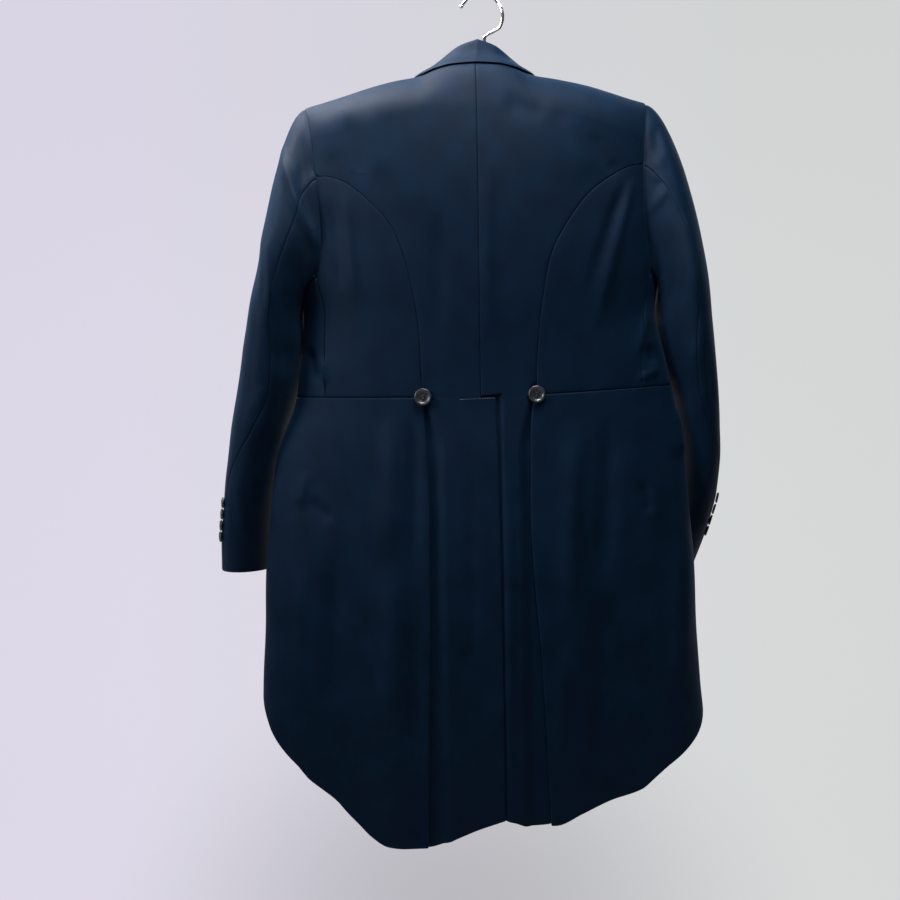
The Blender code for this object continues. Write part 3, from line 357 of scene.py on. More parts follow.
def hull(side, share, z):
    """Point of the coat's outer surface at a share round the body and a height."""
    inner = np.where(share > 1.0, 2.0 - share, np.abs(share))
    sign = np.where((share < 0.0) | (share > 1.0), -1.0, 1.0)
    across = np.interp(inner, SHARES, ACROSS)
    along = np.interp(inner, SHARES, ALONG)
    fold = flute(share, z)
    outward = (width_of[side](z) + fold) * across
    depth = np.where(along > 0, back_depth(z), front_depth(z)) + fold
    part = np.clip((ridge(outward) - z) / ROUNDING, 0.0, 1.0)
    y = depth * along * np.sqrt(1.0 - (1.0 - part) ** 2)
    return np.stack([COAT_X + side * sign * outward, y, z + 0.0 * share], axis=-1)


def shoulder(side, outward, turn):
    """Point of the same surface near the shoulder ridge, turned back or front of it."""
    outward = np.asarray(outward, float)
    z = ridge(np.abs(outward)) - ROUNDING * (1.0 - np.cos(turn))
    part = np.clip(np.abs(outward) / width_of[side](z), 0.0, 1.0)
    along = (1.0 - part ** SECTION_POWER) ** (1 / SECTION_POWER)
    depth = np.where(turn > 0, back_depth(z), front_depth(z))
    return np.stack([COAT_X + side * outward, depth * along * np.sin(turn), z], axis=-1)


def row_height(side, row, share, levels, neck=False):
    """Height of a row: 0 to 1 rolls off the shoulder, then level rows follow."""
    outward = width_of[side](-0.12) * np.interp(np.abs(share), SHARES, ACROSS)
    start = 0.003 + 0.03 * smooth((share - 0.38) / 0.07)
    if neck:
        near = np.clip(1.0 - (outward / NECK_HALF) ** 2, 0.0, 1.0)
        start = np.arccos(1.0 - NECK_DROP * near ** 0.72 / ROUNDING) + start
    turn = mix(start, np.pi / 2, np.clip(row, 0.0, 1.0))
    rolled = ridge(outward) - ROUNDING * (1.0 - np.cos(turn))
    upper = mix(rolled, levels[0], np.clip(row - 1.0, 0.0, 1.0))
    level = np.interp(row - 2.0, np.arange(len(levels)), levels)
    z = np.where(row < 2.0, upper, level)
    weight = smooth((-0.45 - z) / 0.07) * smooth((z + 0.62) / 0.07)
    return z + lift_of[side](np.abs(share)) * weight


def edge_share(side, row, levels, share_at, neck=False):
    """Share at which a row meets an edge that is given by height."""
    share = np.full(np.shape(row), 0.42)
    for _ in range(14):
        share = mix(share, share_at(row_height(side, row, share, levels, neck)), 0.7)
    return share


def parted(share_at, toward):
    """The edge moved half a seam gap, square to its own run."""
    def share(z):
        run = (share_at(z + FINE_STEP) - share_at(z - FINE_STEP)) / (2 * FINE_STEP) * HALF_ROUND
        return share_at(z) + toward * SEAM_GAP / 2 * np.sqrt(1.0 + run ** 2) / HALF_ROUND
    return share


def surface_normals(place, columns, rows, outward):
    """Unit normals of a surface from small steps along it."""
    step = 0.0002
    along = place(columns + step, rows) - place(np.maximum(columns - step, columns.min()), rows)
    down = (place(columns, np.minimum(rows + step, rows.max()))
            - place(columns, np.maximum(rows - step, rows.min())))
    normal = unit(np.cross(along, down))
    middle = normal[normal.shape[0] // 2, normal.shape[1] // 2]
    return normal if np.dot(middle, outward) > 0 else -normal


LEVELS = {
    1: [-0.235, -0.2464, -0.2485, -0.2525, -0.26, -0.27, -0.283, -0.30, -0.32,
        -0.345, -0.374, -0.41, -0.45, -0.49, -0.529],
    -1: [-0.225, -0.2352, -0.2385, -0.243, -0.25, -0.26, -0.2739, -0.295, -0.32,
         -0.345, -0.374, -0.41, -0.45, -0.49, -0.529],
}
FRONT_LEVELS = [-0.235, -0.265, -0.30, -0.325, -0.345, -0.358, -0.367, -0.3718, -0.374,
                -0.41, -0.45, -0.49, -0.529]
SHOULDER_ROWS = [0.0, 0.11, 0.22, 0.38, 0.56, 0.77, 1.0, 1.5]


def front_share(side):
    def share(z):
        return share_across(front_edge(z), z, side, front=True)
    return share


def front_sunk(side, outward, z):
    """The right front lies under the left one where they button."""
    if side > 0:
        return 0.0 * z
    return (FRONT_CLOTH + 4 * LAYER_GAP) * smooth((0.045 - outward) / 0.015) * smooth((-0.40 - z) / 0.04)


def surface_normals_of_hull(place, u, v):
    """Unit normals that point away from the middle of the body."""
    step = 0.0002
    along = place(u + step, v) - place(u - step, v)
    down = place(u, np.minimum(v + step, 1.0)) - place(u, np.maximum(v - step, 0.0))
    normal = unit(np.cross(along, down))
    points = place(u, v)
    facing = (normal[..., 0] * (points[..., 0] - COAT_X) + normal[..., 1] * points[..., 1])
    return normal * np.sign(facing)[..., None]


def armhole_ring(side, gap):
    """Points round the armhole and their turns, 0 at the shoulder and 90 at the back."""
    heights = np.concatenate([np.linspace(-0.15, -0.245, 14), np.linspace(-0.255, -0.372, 16)])
    corner = LEVELS[side][1]
    back = []
    for z in heights:
        seam = back_seam[side] if z > corner else side_seam[side]
        back.append(hull(side, seam(z) + gap / HALF_ROUND, np.array(z)))
    floor_share = np.linspace(float(side_seam[side](ARMHOLE_FLOOR)) + 0.004, 0.50, 7)
    front_rows = [(z, float(front_armhole(z))) for z in np.linspace(-0.3665, -0.15, 26)]
    floor_line = np.array(FRONT_ARMHOLE)[:-5:-1]
    floor_z = np.interp(floor_share, floor_line[:, 1], floor_line[:, 0])
    floor = [hull(side, np.array(s), np.array(z + gap)) for s, z in zip(floor_share, floor_z)]
    front = [hull(side, np.array(s - gap / HALF_ROUND), np.array(z)) for z, s in front_rows]
    tip = shoulder(side, SHOULDER_TIP + 0.0015, 0.0)
    points = np.array([tip] + back + floor + front + [tip])
    reach = reach_along(points)
    foot = len(back) + 4
    turn = np.where(reach <= reach[foot], 180.0 * reach / reach[foot],
                    180.0 + 180.0 * (reach - reach[foot]) / (reach[-1] - reach[foot]))
    return turn, points


def sleeve_surface(side):
    """Surface of a sleeve over turn and row: rows 0 to 1 leave the armhole, then stations."""
    stations = SLEEVE_LEFT if side > 0 else SLEEVE_RIGHT
    ring_turn, ring = armhole_ring(side, SEAM_GAP + ARMHOLE_EASE)
    axis = [through(stations, k) for k in (1, 2, 3, 4)]
    first, last = stations[0][0], stations[-1][0]
    out, out_crown, back, down, down_crown = HEAD_PUSH[side]

    def station(turn, z):
        outward = axis[0](z) + axis[2](z) * np.cos(turn)
        return np.stack([COAT_X + side * outward, axis[1](z) + axis[3](z) * np.sin(turn),
                         z + 0.0 * turn], axis=-1)

    def place(turn, row):
        around = np.degrees(turn) % 360.0
        start = np.stack([np.interp(around, ring_turn, ring[:, k]) for k in range(3)], axis=-1)
        end = station(turn, first + 0.0 * turn)
        below = station(turn, first - 0.03 + 0.0 * turn)
        fall = (below - end) / 0.03
        height = (start[..., 2] - end[..., 2])[..., None]
        crown = 0.5 + 0.5 * np.cos(turn)
        push = np.stack([side * (out + out_crown * crown), back * np.sin(turn),
                         -down - down_crown * crown], axis=-1)
        one, two = start + push, end - fall * 0.45 * height
        t = np.clip(row, 0.0, 1.0)[..., None]
        head = ((1 - t) ** 3 * start + 3 * (1 - t) ** 2 * t * one + 3 * (1 - t) * t * t * two
                + t ** 3 * end)
        arm = station(turn, mix(first, last, np.clip(row - 1.0, 0.0, 1.0)))
        return np.where(row[..., None] < 1.0, head, arm)
    return place, first, last


def axis_height(row, first, last):
    """Height that the sleeve's middle has at a row."""
    return np.where(row < 1.0, mix(-0.20, first, np.clip(row, 0, 1)),
                    mix(first, last, np.clip(row - 1.0, 0, 1)))


def frame_at(place, column, row, outward, step=0.002):
    """Point, outward normal and two tangents of a surface."""
    u, v = np.array([column]), np.array([row])
    point = place(u, v)[0]
    along = place(u + step, v)[0] - place(u - step, v)[0]
    down = place(u, v + step)[0] - place(u, v - step)[0]
    normal = unit(np.cross(along, down))
    if np.dot(normal, outward) < 0:
        normal = -normal
    first = along / np.linalg.norm(along)
    return point, normal, first, np.cross(normal, first)


def new_material(name, colour, roughness, **sockets):
    made = bpy.data.materials.new(name)
    made.use_nodes = True
    shader = made.node_tree.nodes["Principled BSDF"]
    shader.inputs["Base Color"].default_value = (*colour, 1.0)
    shader.inputs["Roughness"].default_value = roughness
    for label, value in sockets.items():
        shader.inputs[label.replace("_", " ")].default_value = value
    return made, made.node_tree, shader


def add_node(tree, kind, *ordered, **named):
    """New shader node. Sockets are given in order or by name, settings by name; a value that
    is itself a socket is linked."""
    made = tree.nodes.new("ShaderNode" + kind)
    pairs = list(zip(made.inputs, ordered))
    for label, value in named.items():
        if label.replace("_", " ") in made.inputs:
            pairs.append((made.inputs[label.replace("_", " ")], value))
        else:
            setattr(made, label, value)
    for socket, value in pairs:
        if isinstance(value, bpy.types.NodeSocket):
            tree.links.new(value, socket)
        else:
            socket.default_value = value
    return made


def ramp(tree, driver, low, high, start=0.0, end=1.0):
    """Colour that runs from low to high as the driver runs from start to end."""
    made = add_node(tree, "ValToRGB", Fac=driver)
    for element, position, colour in zip(made.color_ramp.elements, (start, end), (low, high)):
        element.position = position
        element.color = (*colour, 1.0)
    return made.outputs["Color"]


def cloth_look(name, dark, light, rib, roughness, strength, **sockets):
    """Woven cloth: mottled colour, slanting twill ribs and fine fibres."""
    made, tree, shader = new_material(name, dark, roughness, **sockets)
    flat = add_node(tree, "UVMap", uv_map="cut").outputs["UV"]
    slant = add_node(tree, "Mapping", Vector=flat, Rotation=(0.0, 0.0, math.radians(27.0)))
    stretch = add_node(tree, "Mapping", Vector=flat, Scale=(1.0, 0.75, 1.0))
    ribs = add_node(tree, "TexWave", Vector=slant.outputs["Vector"], Scale=0.314 / rib,
                    Distortion=0.6, Detail=1.0)
    noises = [(flat, 900.0, 3.0, 0.6), (stretch.outputs["Vector"], 26.0, 4.0, 0.55),
              (flat, 420.0, 2.0, 0.7)]
    fibre, cloud, speck = [add_node(tree, "TexNoise", Vector=place, Scale=scale, Detail=detail,
                                    Roughness=rough).outputs["Fac"]
                           for place, scale, detail, rough in noises]
    part = add_node(tree, "Math", speck, 0.45, operation="MULTIPLY")
    both = add_node(tree, "Math", cloud, part.outputs[0], operation="ADD")
    tree.links.new(ramp(tree, both.outputs[0], dark, light, 0.52, 0.95), shader.inputs["Base Color"])
    height = add_node(tree, "Math", ribs.outputs["Fac"], fibre, operation="ADD")
    bump = add_node(tree, "Bump", Height=height.outputs[0], Strength=strength, Distance=0.00025)
    tree.links.new(bump.outputs["Normal"], shader.inputs["Normal"])
    return made


WOOL = cloth_look("wool", (0.0002, 0.0045, 0.013), (0.0007, 0.0078, 0.021), 0.0009, 0.62, 0.35,
                  Specular_IOR_Level=0.05, Sheen_Weight=0.03, Sheen_Roughness=0.45,
                  Sheen_Tint=(0.30, 0.60, 1.0, 1.0))
LINING = cloth_look("lining", (0.006, 0.0062, 0.0085), (0.011, 0.0112, 0.014), 0.0005, 0.38, 0.15,
                    Specular_IOR_Level=0.5)


def gloss_look(name, colour, roughness, grain, **sockets):
    """Smooth hard surface with faint cloudy wear in its gloss."""
    made, tree, shader = new_material(name, colour, roughness, **sockets)
    place = add_node(tree, "TexCoord").outputs["Object"]
    cloud = add_node(tree, "TexNoise", Vector=place, Scale=grain, Detail=4.0).outputs["Fac"]
    spread = add_node(tree, "MapRange", Value=cloud, To_Min=roughness * 0.75, To_Max=roughness * 1.35)
    tree.links.new(spread.outputs["Result"], shader.inputs["Roughness"])
    tone = ramp(tree, cloud, [c * 0.75 for c in colour], [min(1.0, c * 1.2) for c in colour], 0.3, 0.7)
    tree.links.new(tone, shader.inputs["Base Color"])
    return made


HORN = gloss_look("dark_horn", (0.014, 0.017, 0.021), 0.30, 260.0, Specular_IOR_Level=0.5)
THREAD = gloss_look("thread", (0.01, 0.012, 0.018), 0.70, 900.0)
SEAM_THREAD = gloss_look("seam_thread", (0.045, 0.06, 0.085), 0.60, 900.0)
CHROME = gloss_look("chrome", (0.72, 0.72, 0.74), 0.10, 300.0, Metallic=1.0)
PLASTIC = gloss_look("black_plastic", (0.02, 0.02, 0.021), 0.42, 200.0)


def backdrop_look():
    """Pale glowing wall, lavender to one side and grey-green to the other, with a painted soft shadow that
    dulls it low in the middle near the floor.
    """
    made, tree, shader = new_material("backdrop", (0.09, 0.09, 0.093), 1.0, Specular_IOR_Level=0.0)
    place = add_node(tree, "TexCoord").outputs["Object"]
    split = add_node(tree, "SeparateXYZ", Vector=place)
    side = add_node(tree, "MapRange", Value=split.outputs["X"], From_Min=1.3, From_Max=-1.2)
    hue = ramp(tree, side.outputs["Result"], WALL_LEFT, WALL_RIGHT)
    # painted shadow: the wall's glow is dulled to 0.55 near a point below the floor's middle, fading out by
    # 1.5 m away
    away = add_node(tree, "VectorMath", place, (0.05, -2.6, -2.75), operation="DISTANCE")
    rise = add_node(tree, "MapRange", interpolation_type="SMOOTHSTEP", Value=away.outputs["Value"],
                    From_Min=0.2, From_Max=1.5, To_Min=0.55)
    painted_shadow_tone = add_node(tree, "Mix", data_type="RGBA", blend_type="MULTIPLY")
    painted_shadow_tone.inputs["Factor"].default_value = 1.0
    tree.links.new(hue, painted_shadow_tone.inputs[6])
    tree.links.new(rise.outputs["Result"], painted_shadow_tone.inputs[7])
    tree.links.new(painted_shadow_tone.outputs[2], shader.inputs["Emission Color"])
    shader.inputs["Emission Strength"].default_value = WALL_GLOW
    return made


WALL_LEFT = (0.77, 0.735, 0.86)
WALL_RIGHT = (0.70, 0.725, 0.715)
WALL_GLOW = 0.88
WORLD_COLOUR = (0.78, 0.79, 0.83)
WORLD_STRENGTH = 0.12
BACKDROP = backdrop_look()
# name, place, aim, width, depth, power, spread in degrees and colour of each lamp
LIGHTS = [
    ("overhead", (0.22, 0.17, 0.50), (0.10, 0.05, -0.30), 1.6, 0.26, 56.0, 180.0, (0.98, 0.96, 0.97)),
    ("window", (1.10, 0.50, -0.05), (0.20, 0.05, -0.28), 0.4, 0.7, 5.5, 100.0, (0.97, 0.97, 1.0)),
    ("front_fill", (-0.6, -1.9, 0.9), (0.0, 0.0, -0.5), 1.6, 1.2, 8.0, 180.0, (1.0, 0.99, 0.97)),
]


# facing of the cloth (1 back, -1 front, 0 all round), then in millimetres: start, bend and end
# as distance to the wearer's left of the coat's middle and height, then half width and rise
BODY_FOLDS = [
    # back above the waist
    (1, -29, -164, -61, -167, -93, -178, 16.0, -2.7), (1, -12, -238, -9, -348, -10, -471, 9.0, 2.0),
    (1, 47, -286, 51, -371, 50, -457, 12.0, -1.7),
    (1, -198, -253, -175, -326, -141, -459, 6.0, 3.4),
    (1, -187, -257, -162, -317, -131, -417, 6.0, -2.7),
    (1, -222, -405, -208, -443, -199, -484, 6.0, 3.1),
    (1, -198, -509, -216, -501, -233, -492, 3.0, 3.7),
    (1, -214, -463, -220, -478, -220, -489, 7.0, -4.4),
    (1, 216, -458, 214, -481, 209, -508, 5.0, -4.4), (1, 199, -475, 197, -493, 197, -511, 3.5, 3.1),
    (1, 169, -255, 158, -331, 155, -417, 5.0, 2.5), (1, 185, -266, 176, -335, 175, -404, 6.0, -2.4),
    # skirts and tails behind
    (1, 220, -652, 205, -668, 188, -683, 9.0, -3.7), (1, 219, -617, 228, -640, 233, -667, 5.0, 3.1),
    (1, 111, -533, 113, -631, 115, -736, 14.0, 4.4), (1, 83, -534, 84, -631, 87, -780, 7.0, -3.4),
    (1, 187, -705, 189, -831, 193, -932, 12.0, -4.2),
    (1, 115, -730, 117, -829, 117, -960, 14.0, 4.4), (1, 87, -780, 89, -880, 86, -980, 10.0, -3.7),
    (1, 231, -730, 234, -831, 234, -907, 9.0, 3.2),
    (1, -163, -541, -157, -660, -150, -785, 12.0, -4.6),
    (1, -147, -785, -142, -885, -134, -1010, 12.0, -4.4),
    (1, -262, -539, -260, -573, -253, -612, 13.0, 4.0),
    (1, -257, -663, -255, -790, -246, -915, 16.0, 4.4),
    (1, -201, -634, -206, -659, -211, -682, 6.0, -3.7),
    (1, -117, -549, -112, -684, -103, -833, 11.0, 3.8),
    (1, -101, -833, -97, -907, -91, -1008, 10.0, 3.0),
    (1, -36, -565, -32, -781, -31, -1019, 6.0, 1.5), (1, 12, -570, 14, -732, 15, -905, 8.0, -1.4),
    # under the shoulders
    (1, 168, -164, 153, -212, 141, -265, 9.0, -2.2),
    (1, 138, -163, 130, -209, 121, -264, 12.0, 1.8),
    (1, 201, -163, 192, -196, 182, -235, 10.0, 1.6),
    (1, -141, -197, -159, -226, -173, -263, 9.0, -2.0),
    (1, -111, -172, -120, -213, -140, -267, 11.0, 1.6),
    # chest and waist in front
    (-1, 150, -190, 140, -260, 120, -330, 12.0, 1.6),
    (-1, -150, -190, -142, -255, -125, -335, 12.0, 1.5),
    (-1, 185, -300, 165, -360, 140, -420, 8.0, 1.6),
    (-1, -190, -300, -168, -352, -146, -424, 8.0, 1.8),
    (-1, 120, -455, 80, -480, 34, -495, 5.0, 1.6), (-1, -118, -462, -78, -484, -32, -497, 5.0, 1.4),
    (-1, 110, -492, 75, -503, 34, -505, 4.5, -1.2),
    # skirts in front
    (-1, 160, -560, 165, -640, 170, -720, 13.0, 2.0),
    (-1, -158, -560, -166, -640, -172, -730, 13.0, 2.0),
    (-1, 205, -580, 212, -680, 215, -790, 12.0, -2.0),
    (-1, -205, -575, -209, -680, -214, -780, 12.0, -2.0),
    (-1, 240, -600, 246, -720, 250, -850, 14.0, 2.0),
    (-1, -238, -600, -244, -720, -248, -850, 14.0, 2.0),
]
SLEEVE_FOLDS = [
    # elbows and lower arms behind
    (1, 256, -466, 263, -528, 283, -586, 9.0, 4.3), (1, 274, -508, 280, -525, 285, -544, 6.0, 2.0),
    (1, 242, -403, 240, -451, 246, -501, 8.0, -3.2), (1, 315, -616, 311, -655, 311, -701, 6.0, 2.2),
    (1, -262, -450, -273, -511, -285, -574, 7.0, 2.9),
    (1, -284, -462, -292, -511, -296, -555, 6.0, -2.6),
    (1, -291, -625, -295, -672, -295, -721, 6.0, 2.2),
    # heads and upper arms behind
    (1, 224, -170, 220, -244, 206, -328, 9.0, -4.5), (1, 251, -187, 234, -286, 197, -347, 6.0, 6.0),
    (1, 214, -360, 207, -366, 201, -377, 5.0, -3.6), (1, 258, -312, 263, -366, 259, -432, 4.0, 4.0),
    (1, 283, -315, 288, -364, 271, -442, 8.0, -3.0),
    (1, -231, -178, -228, -204, -228, -230, 8.0, -3.4),
    (1, -220, -237, -228, -238, -239, -233, 6.0, 2.0),
    (1, -218, -268, -225, -266, -233, -260, 5.0, -2.2),
    (1, -212, -293, -225, -293, -239, -271, 4.0, 3.4),
    (1, -257, -293, -266, -352, -271, -426, 10.0, 2.2),
    (1, -236, -318, -245, -365, -255, -425, 9.0, -2.0),
    # sleeves in front
    (-1, 262, -290, 268, -360, 262, -430, 9.0, 3.0),
    (-1, -262, -290, -270, -360, -268, -430, 9.0, 2.6),
    (-1, 245, -240, 252, -270, 258, -300, 6.0, -2.2),
    (-1, -245, -240, -254, -270, -262, -300, 6.0, -2.2),
    (-1, 262, -470, 276, -482, 290, -486, 5.0, -1.6),
    (-1, -262, -470, -278, -484, -294, -490, 5.0, -1.8),
    (-1, 290, -500, 296, -540, 300, -580, 7.0, 1.8),
    (-1, -290, -500, -296, -545, -292, -590, 7.0, 1.8),
    # elbows all round
    (0, 236, -360, 233, -420, 237, -475, 14.0, 4.2),
    (0, -240, -400, -245, -470, -254, -540, 14.0, 3.0),
]


def fold_rise(folds, x, z, facing):
    """Height that the soft folds add at points given by x, z and the way they face."""
    total = np.zeros_like(x)
    for face, *sizes in folds:
        x0, z0, x1, z1, x2, z2, width, rise = [size / 1000 for size in sizes]
        t = np.linspace(0.0, 1.0, 25)
        line_x = (1 - t) ** 2 * x0 + 2 * t * (1 - t) * x1 + t * t * x2
        line_z = (1 - t) ** 2 * z0 + 2 * t * (1 - t) * z1 + t * t * z2
        reach = 3.0 * width
        near = ((x > line_x.min() - reach) & (x < line_x.max() + reach)
                & (z > line_z.min() - reach) & (z < line_z.max() + reach))
        if not near.any():
            continue
        px, pz = x[near][:, None], z[near][:, None]
        ax, az = line_x[None, :-1], line_z[None, :-1]
        run_x, run_z = np.diff(line_x)[None, :], np.diff(line_z)[None, :]
        part = ((px - ax) * run_x + (pz - az) * run_z) / (run_x ** 2 + run_z ** 2)
        part = np.clip(part, 0.0, 1.0)
        away = np.hypot(px - ax - part * run_x, pz - az - part * run_z)
        best = away.argmin(axis=1)
        pick = np.arange(len(best))
        along = (best + part[pick, best]) / (len(t) - 1)
        taper = smooth(along / 0.3) * smooth((1.0 - along) / 0.3)
        turned = smooth((face * facing[near] + 0.10) / 0.45) if face else 1.0
        total[near] += rise * turned * taper * np.exp(-(away[pick, best] / width) ** 2)
    return total


# radians a metre across and down, and start, of the waves in the cloth
WAVES = [(31.0, 9.0, 0.4), (-47.0, 13.0, 2.1), (71.0, -17.0, 3.3), (23.0, 37.0, 5.0), (-11.0, 61.0, 1.2)]


def uneven(x, z, scale):
    """Faint waviness of pressed wool, which never hangs quite true."""
    return scale * sum(np.sin(a * x + b * z + c) for a, b, c in WAVES)


# lap under a seam, and how far the sleeve head's lap lies below the armhole's edge
LAP = 0.005
HEAD_TUCK = 0.0022
# how far out from the middle, and below the seam, the sleeve head's lap points
CORE_OUT, CORE_DOWN = 0.17, 0.03
SLEEVE_RADIUS = 0.04
SLEEVE_PART_WIDTH = {"topsleeve": 0.088, "undersleeve": 0.115}
LAP_BEND_START, LAP_BEND = 0.0013, 0.0015
# widths and length that set how finely the pieces are divided
BACK_WIDTH = 0.20
SIDE_WIDTH = 0.12
SKIRT_LENGTH = 0.50


def body_rise(points, normal):
    x, z = points[..., 0] - COAT_X, points[..., 2]
    return fold_rise(BODY_FOLDS, x, z, normal[..., 1]) + uneven(x, z, 0.00018)


def sleeve_rise(points, normal):
    x, z = points[..., 0] - COAT_X, points[..., 2]
    hold = smooth((-0.19 - z) / 0.05)
    return fold_rise(SLEEVE_FOLDS, x, z, normal[..., 1]) + hold * uneven(x * 1.7, z * 1.3, 0.00016)


def spaced(length, step, lead=True, trail=True):
    """Places from 0 to 1 along a length, close together near an edge."""
    close = [0.0, 0.00025, 0.0006, 0.0011, 0.0018, 0.003, 0.005]
    head = close if lead else [0.0]
    tail = close if trail else [0.0]
    count = max(2, int(round((length - head[-1] - tail[-1]) / step)))
    middle = np.linspace(head[-1], length - tail[-1], count + 1)[1:-1]
    return np.concatenate([head, middle, length - np.array(tail[::-1])]) / length


def tucked(length, step, lead=0.0, trail=0.0):
    """Places along a length, with a lap of cloth that goes on past a seam at either end."""
    places = spaced(length, step) * length
    near = np.array([0.005, 0.0036, 0.0022, 0.0012, 0.0006, 0.0002])
    if lead:
        places = np.concatenate([-near, places])
    if trail:
        places = np.concatenate([places, length + near[::-1]])
    return places / length


def lap_depth(past):
    """Share of its full depth that a lap has under its neighbour, from the distance past the seam."""
    bend = np.clip((past + LAP_BEND_START) / LAP_BEND, 0.0, 1.0)
    return 1.0 - np.sqrt(1.0 - bend ** 2)


def run_lengths(points, axis):
    steps = np.linalg.norm(np.diff(points, axis=axis), axis=-1)
    zero = np.zeros_like(np.take(steps, [0], axis=axis))
    return np.concatenate([zero, np.cumsum(steps, axis=axis)], axis=axis)


def new_object(name, vertices, faces, uvs=None, slots=None, looks=()):
    mesh = bpy.data.meshes.new(name)
    mesh.from_pydata([tuple(map(float, p)) for p in vertices], [], faces)
    for look in looks:
        mesh.materials.append(look)
    if uvs is not None:
        flat_map = mesh.uv_layers.new(name="cut")
        corner = np.empty(len(mesh.loops), dtype=np.int32)
        mesh.loops.foreach_get("vertex_index", corner)
        flat_map.data.foreach_set("uv", np.asarray(uvs, dtype=np.float32)[corner].ravel())
    if slots is not None:
        mesh.polygons.foreach_set("material_index", np.asarray(slots, dtype=np.int32))
    mesh.polygons.foreach_set("use_smooth", np.full(len(mesh.polygons), True))
    mesh.update()
    piece = bpy.data.objects.new(name, mesh)
    bpy.context.scene.collection.objects.link(piece)
    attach(piece, BODY)
    return piece


def stand_for(piece, node):
    """Hides the node whose place the piece takes."""
    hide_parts(node)


def ring_faces(rings, around, first=0):
    """Faces between rings of points that follow one another."""
    faces = []
    for i in range(rings - 1):
        for k in range(around):
            a, b = first + i * around + k, first + i * around + (k + 1) % around
            faces.append((a, b, b + around, a + around))
    return faces


def grid_faces(rows, columns, offset=0, flip=False):
    i, j = np.meshgrid(np.arange(rows - 1), np.arange(columns - 1), indexing="ij")
    a = offset + i * columns + j
    quads = np.stack([a, a + columns, a + columns + 1, a + 1], axis=-1).reshape(-1, 4)
    return quads[:, ::-1] if flip else quads


# half width of the hollow that pressing leaves along a seam
SEAM_HOLLOW = 0.0022


def cloth(node, grid, normal, thickness, rise=0.0, press=0.0004, lined=True,
          laps=(0, 0, 0, 0), level=0):
    """Thin shell with rolled edges. Laps are the columns or rows past a seam: left, right, top,
    bottom. The weave is laid out from the row named by level."""
    rows, columns = grid.shape[:2]
    across, down = run_lengths(grid, 1), run_lengths(grid, 0)
    edge = np.minimum(np.minimum(across, across[:, -1:] - across), np.minimum(down, down[-1:] - down))
    half = thickness / 2
    close = 1.0 - np.clip(edge / (half * 1.2), 0.0, 1.0)
    roll = half * 0.9 * (1.0 - np.sqrt(np.clip(1.0 - close ** 2, 0.0, 1.0)))
    left, right = laps[0], columns - 1 - laps[1]
    top, bottom = laps[2], rows - 1 - laps[3]
    beside = np.minimum(abs(across - across[:, [left]]), abs(across - across[:, [right]]))
    seam = np.minimum(beside, np.minimum(abs(down - down[top]), abs(down - down[bottom])))
    sink = press * np.exp(-(seam / SEAM_HOLLOW) ** 2)
    middle = grid + normal * (rise - sink)[..., None]
    outer = middle + normal * (half - roll)[..., None]
    inner = middle - normal * (half - roll)[..., None]
    count = rows * columns
    turn = np.cross(grid[rows // 2, columns // 2 + 1] - grid[rows // 2, columns // 2],
                    grid[rows // 2 + 1, columns // 2] - grid[rows // 2, columns // 2])
    flip = np.dot(turn, normal[rows // 2, columns // 2]) > 0
    front = grid_faces(rows, columns, 0, flip)
    back = grid_faces(rows, columns, count, not flip)
    at = np.arange(count).reshape(rows, columns)
    ring = np.concatenate([at[0], at[1:, -1], at[-1, -2::-1], at[-2:0:-1, 0]])
    after = np.roll(ring, -1)
    rim = np.stack([ring, after, after + count, ring + count], axis=-1)
    rim = rim if flip else rim[:, ::-1]
    faces = np.concatenate([front, back, rim]).tolist()
    slots = [0] * len(front) + [1 if lined else 0] * len(back) + [0] * len(rim)
    flat = np.stack([across, down - down[level]], axis=-1).reshape(-1, 2)
    vertices = np.concatenate([outer.reshape(-1, 3), inner.reshape(-1, 3)])
    piece = new_object("cloth_" + node, vertices, faces, np.concatenate([flat, flat]), slots,
                       (WOOL, LINING))
    stand_for(piece, node)
    sides = grid[1:, 1:] - grid[:-1, :-1], grid[1:, :-1] - grid[:-1, 1:]
    area = float(np.linalg.norm(np.cross(*sides), axis=-1).sum() / 2)
    wide, long = float(across[:, -1].max()), float(down[-1].max())
    area = min(area, wide * long)
    return piece


def sheet_on(place, columns, rows, outward, depth, thickness):
    """Middle surface of a cloth layer and its normals."""
    u, v = np.meshgrid(columns, rows)
    points = place(u, v)
    normal = surface_normals(place, u, v, outward)
    sunk = depth(u, v) if callable(depth) else depth + 0.0 * u
    return points, normal, points - normal * (sunk + thickness / 2)[..., None]


def fine_rows(coarse, parts):
    """Each step between coarse rows split into equal parts."""
    rows = [np.linspace(a, b, n, endpoint=False) for a, b, n in zip(coarse, coarse[1:], parts)]
    return np.concatenate(rows + [[coarse[-1]]])


def rows_through(levels, step, last=None):
    """Rows from the shoulder ridge down the levels, closer together near both ends."""
    coarse = SHOULDER_ROWS + [2.0 + k for k in range(len(levels))]
    drop = [0.0095] * 6 + [0.03, 0.035] + list(-np.diff(levels))
    parts = [max(1, int(round(abs(d) / step))) for d in drop]
    rows = fine_rows(coarse, parts)
    near_top = np.array([0.002, 0.005, 0.01, 0.018, 0.03])
    rows = np.unique(np.round(np.concatenate([rows, near_top]), 6))
    if last is not None:
        near_end = last - np.array([0.0, 0.006, 0.014, 0.026, 0.042])[::-1]
        rows = np.concatenate([rows[rows < last - 0.06], near_end])
    return rows


# where the strips start to dive under the pleats, at the waist and farther down, and over what width
DIVE_START = (0.0595, 0.045)
DIVE_WIDTH = 0.013
# edge of the strip under the vent's flap and its width, then depth, place and width of the groove
FLAP_EDGE, FLAP_WIDTH = 0.029, 0.007
GROOVE_DEPTH, GROOVE_PLACE, GROOVE_WIDTH = 0.001, 0.0225, 0.003


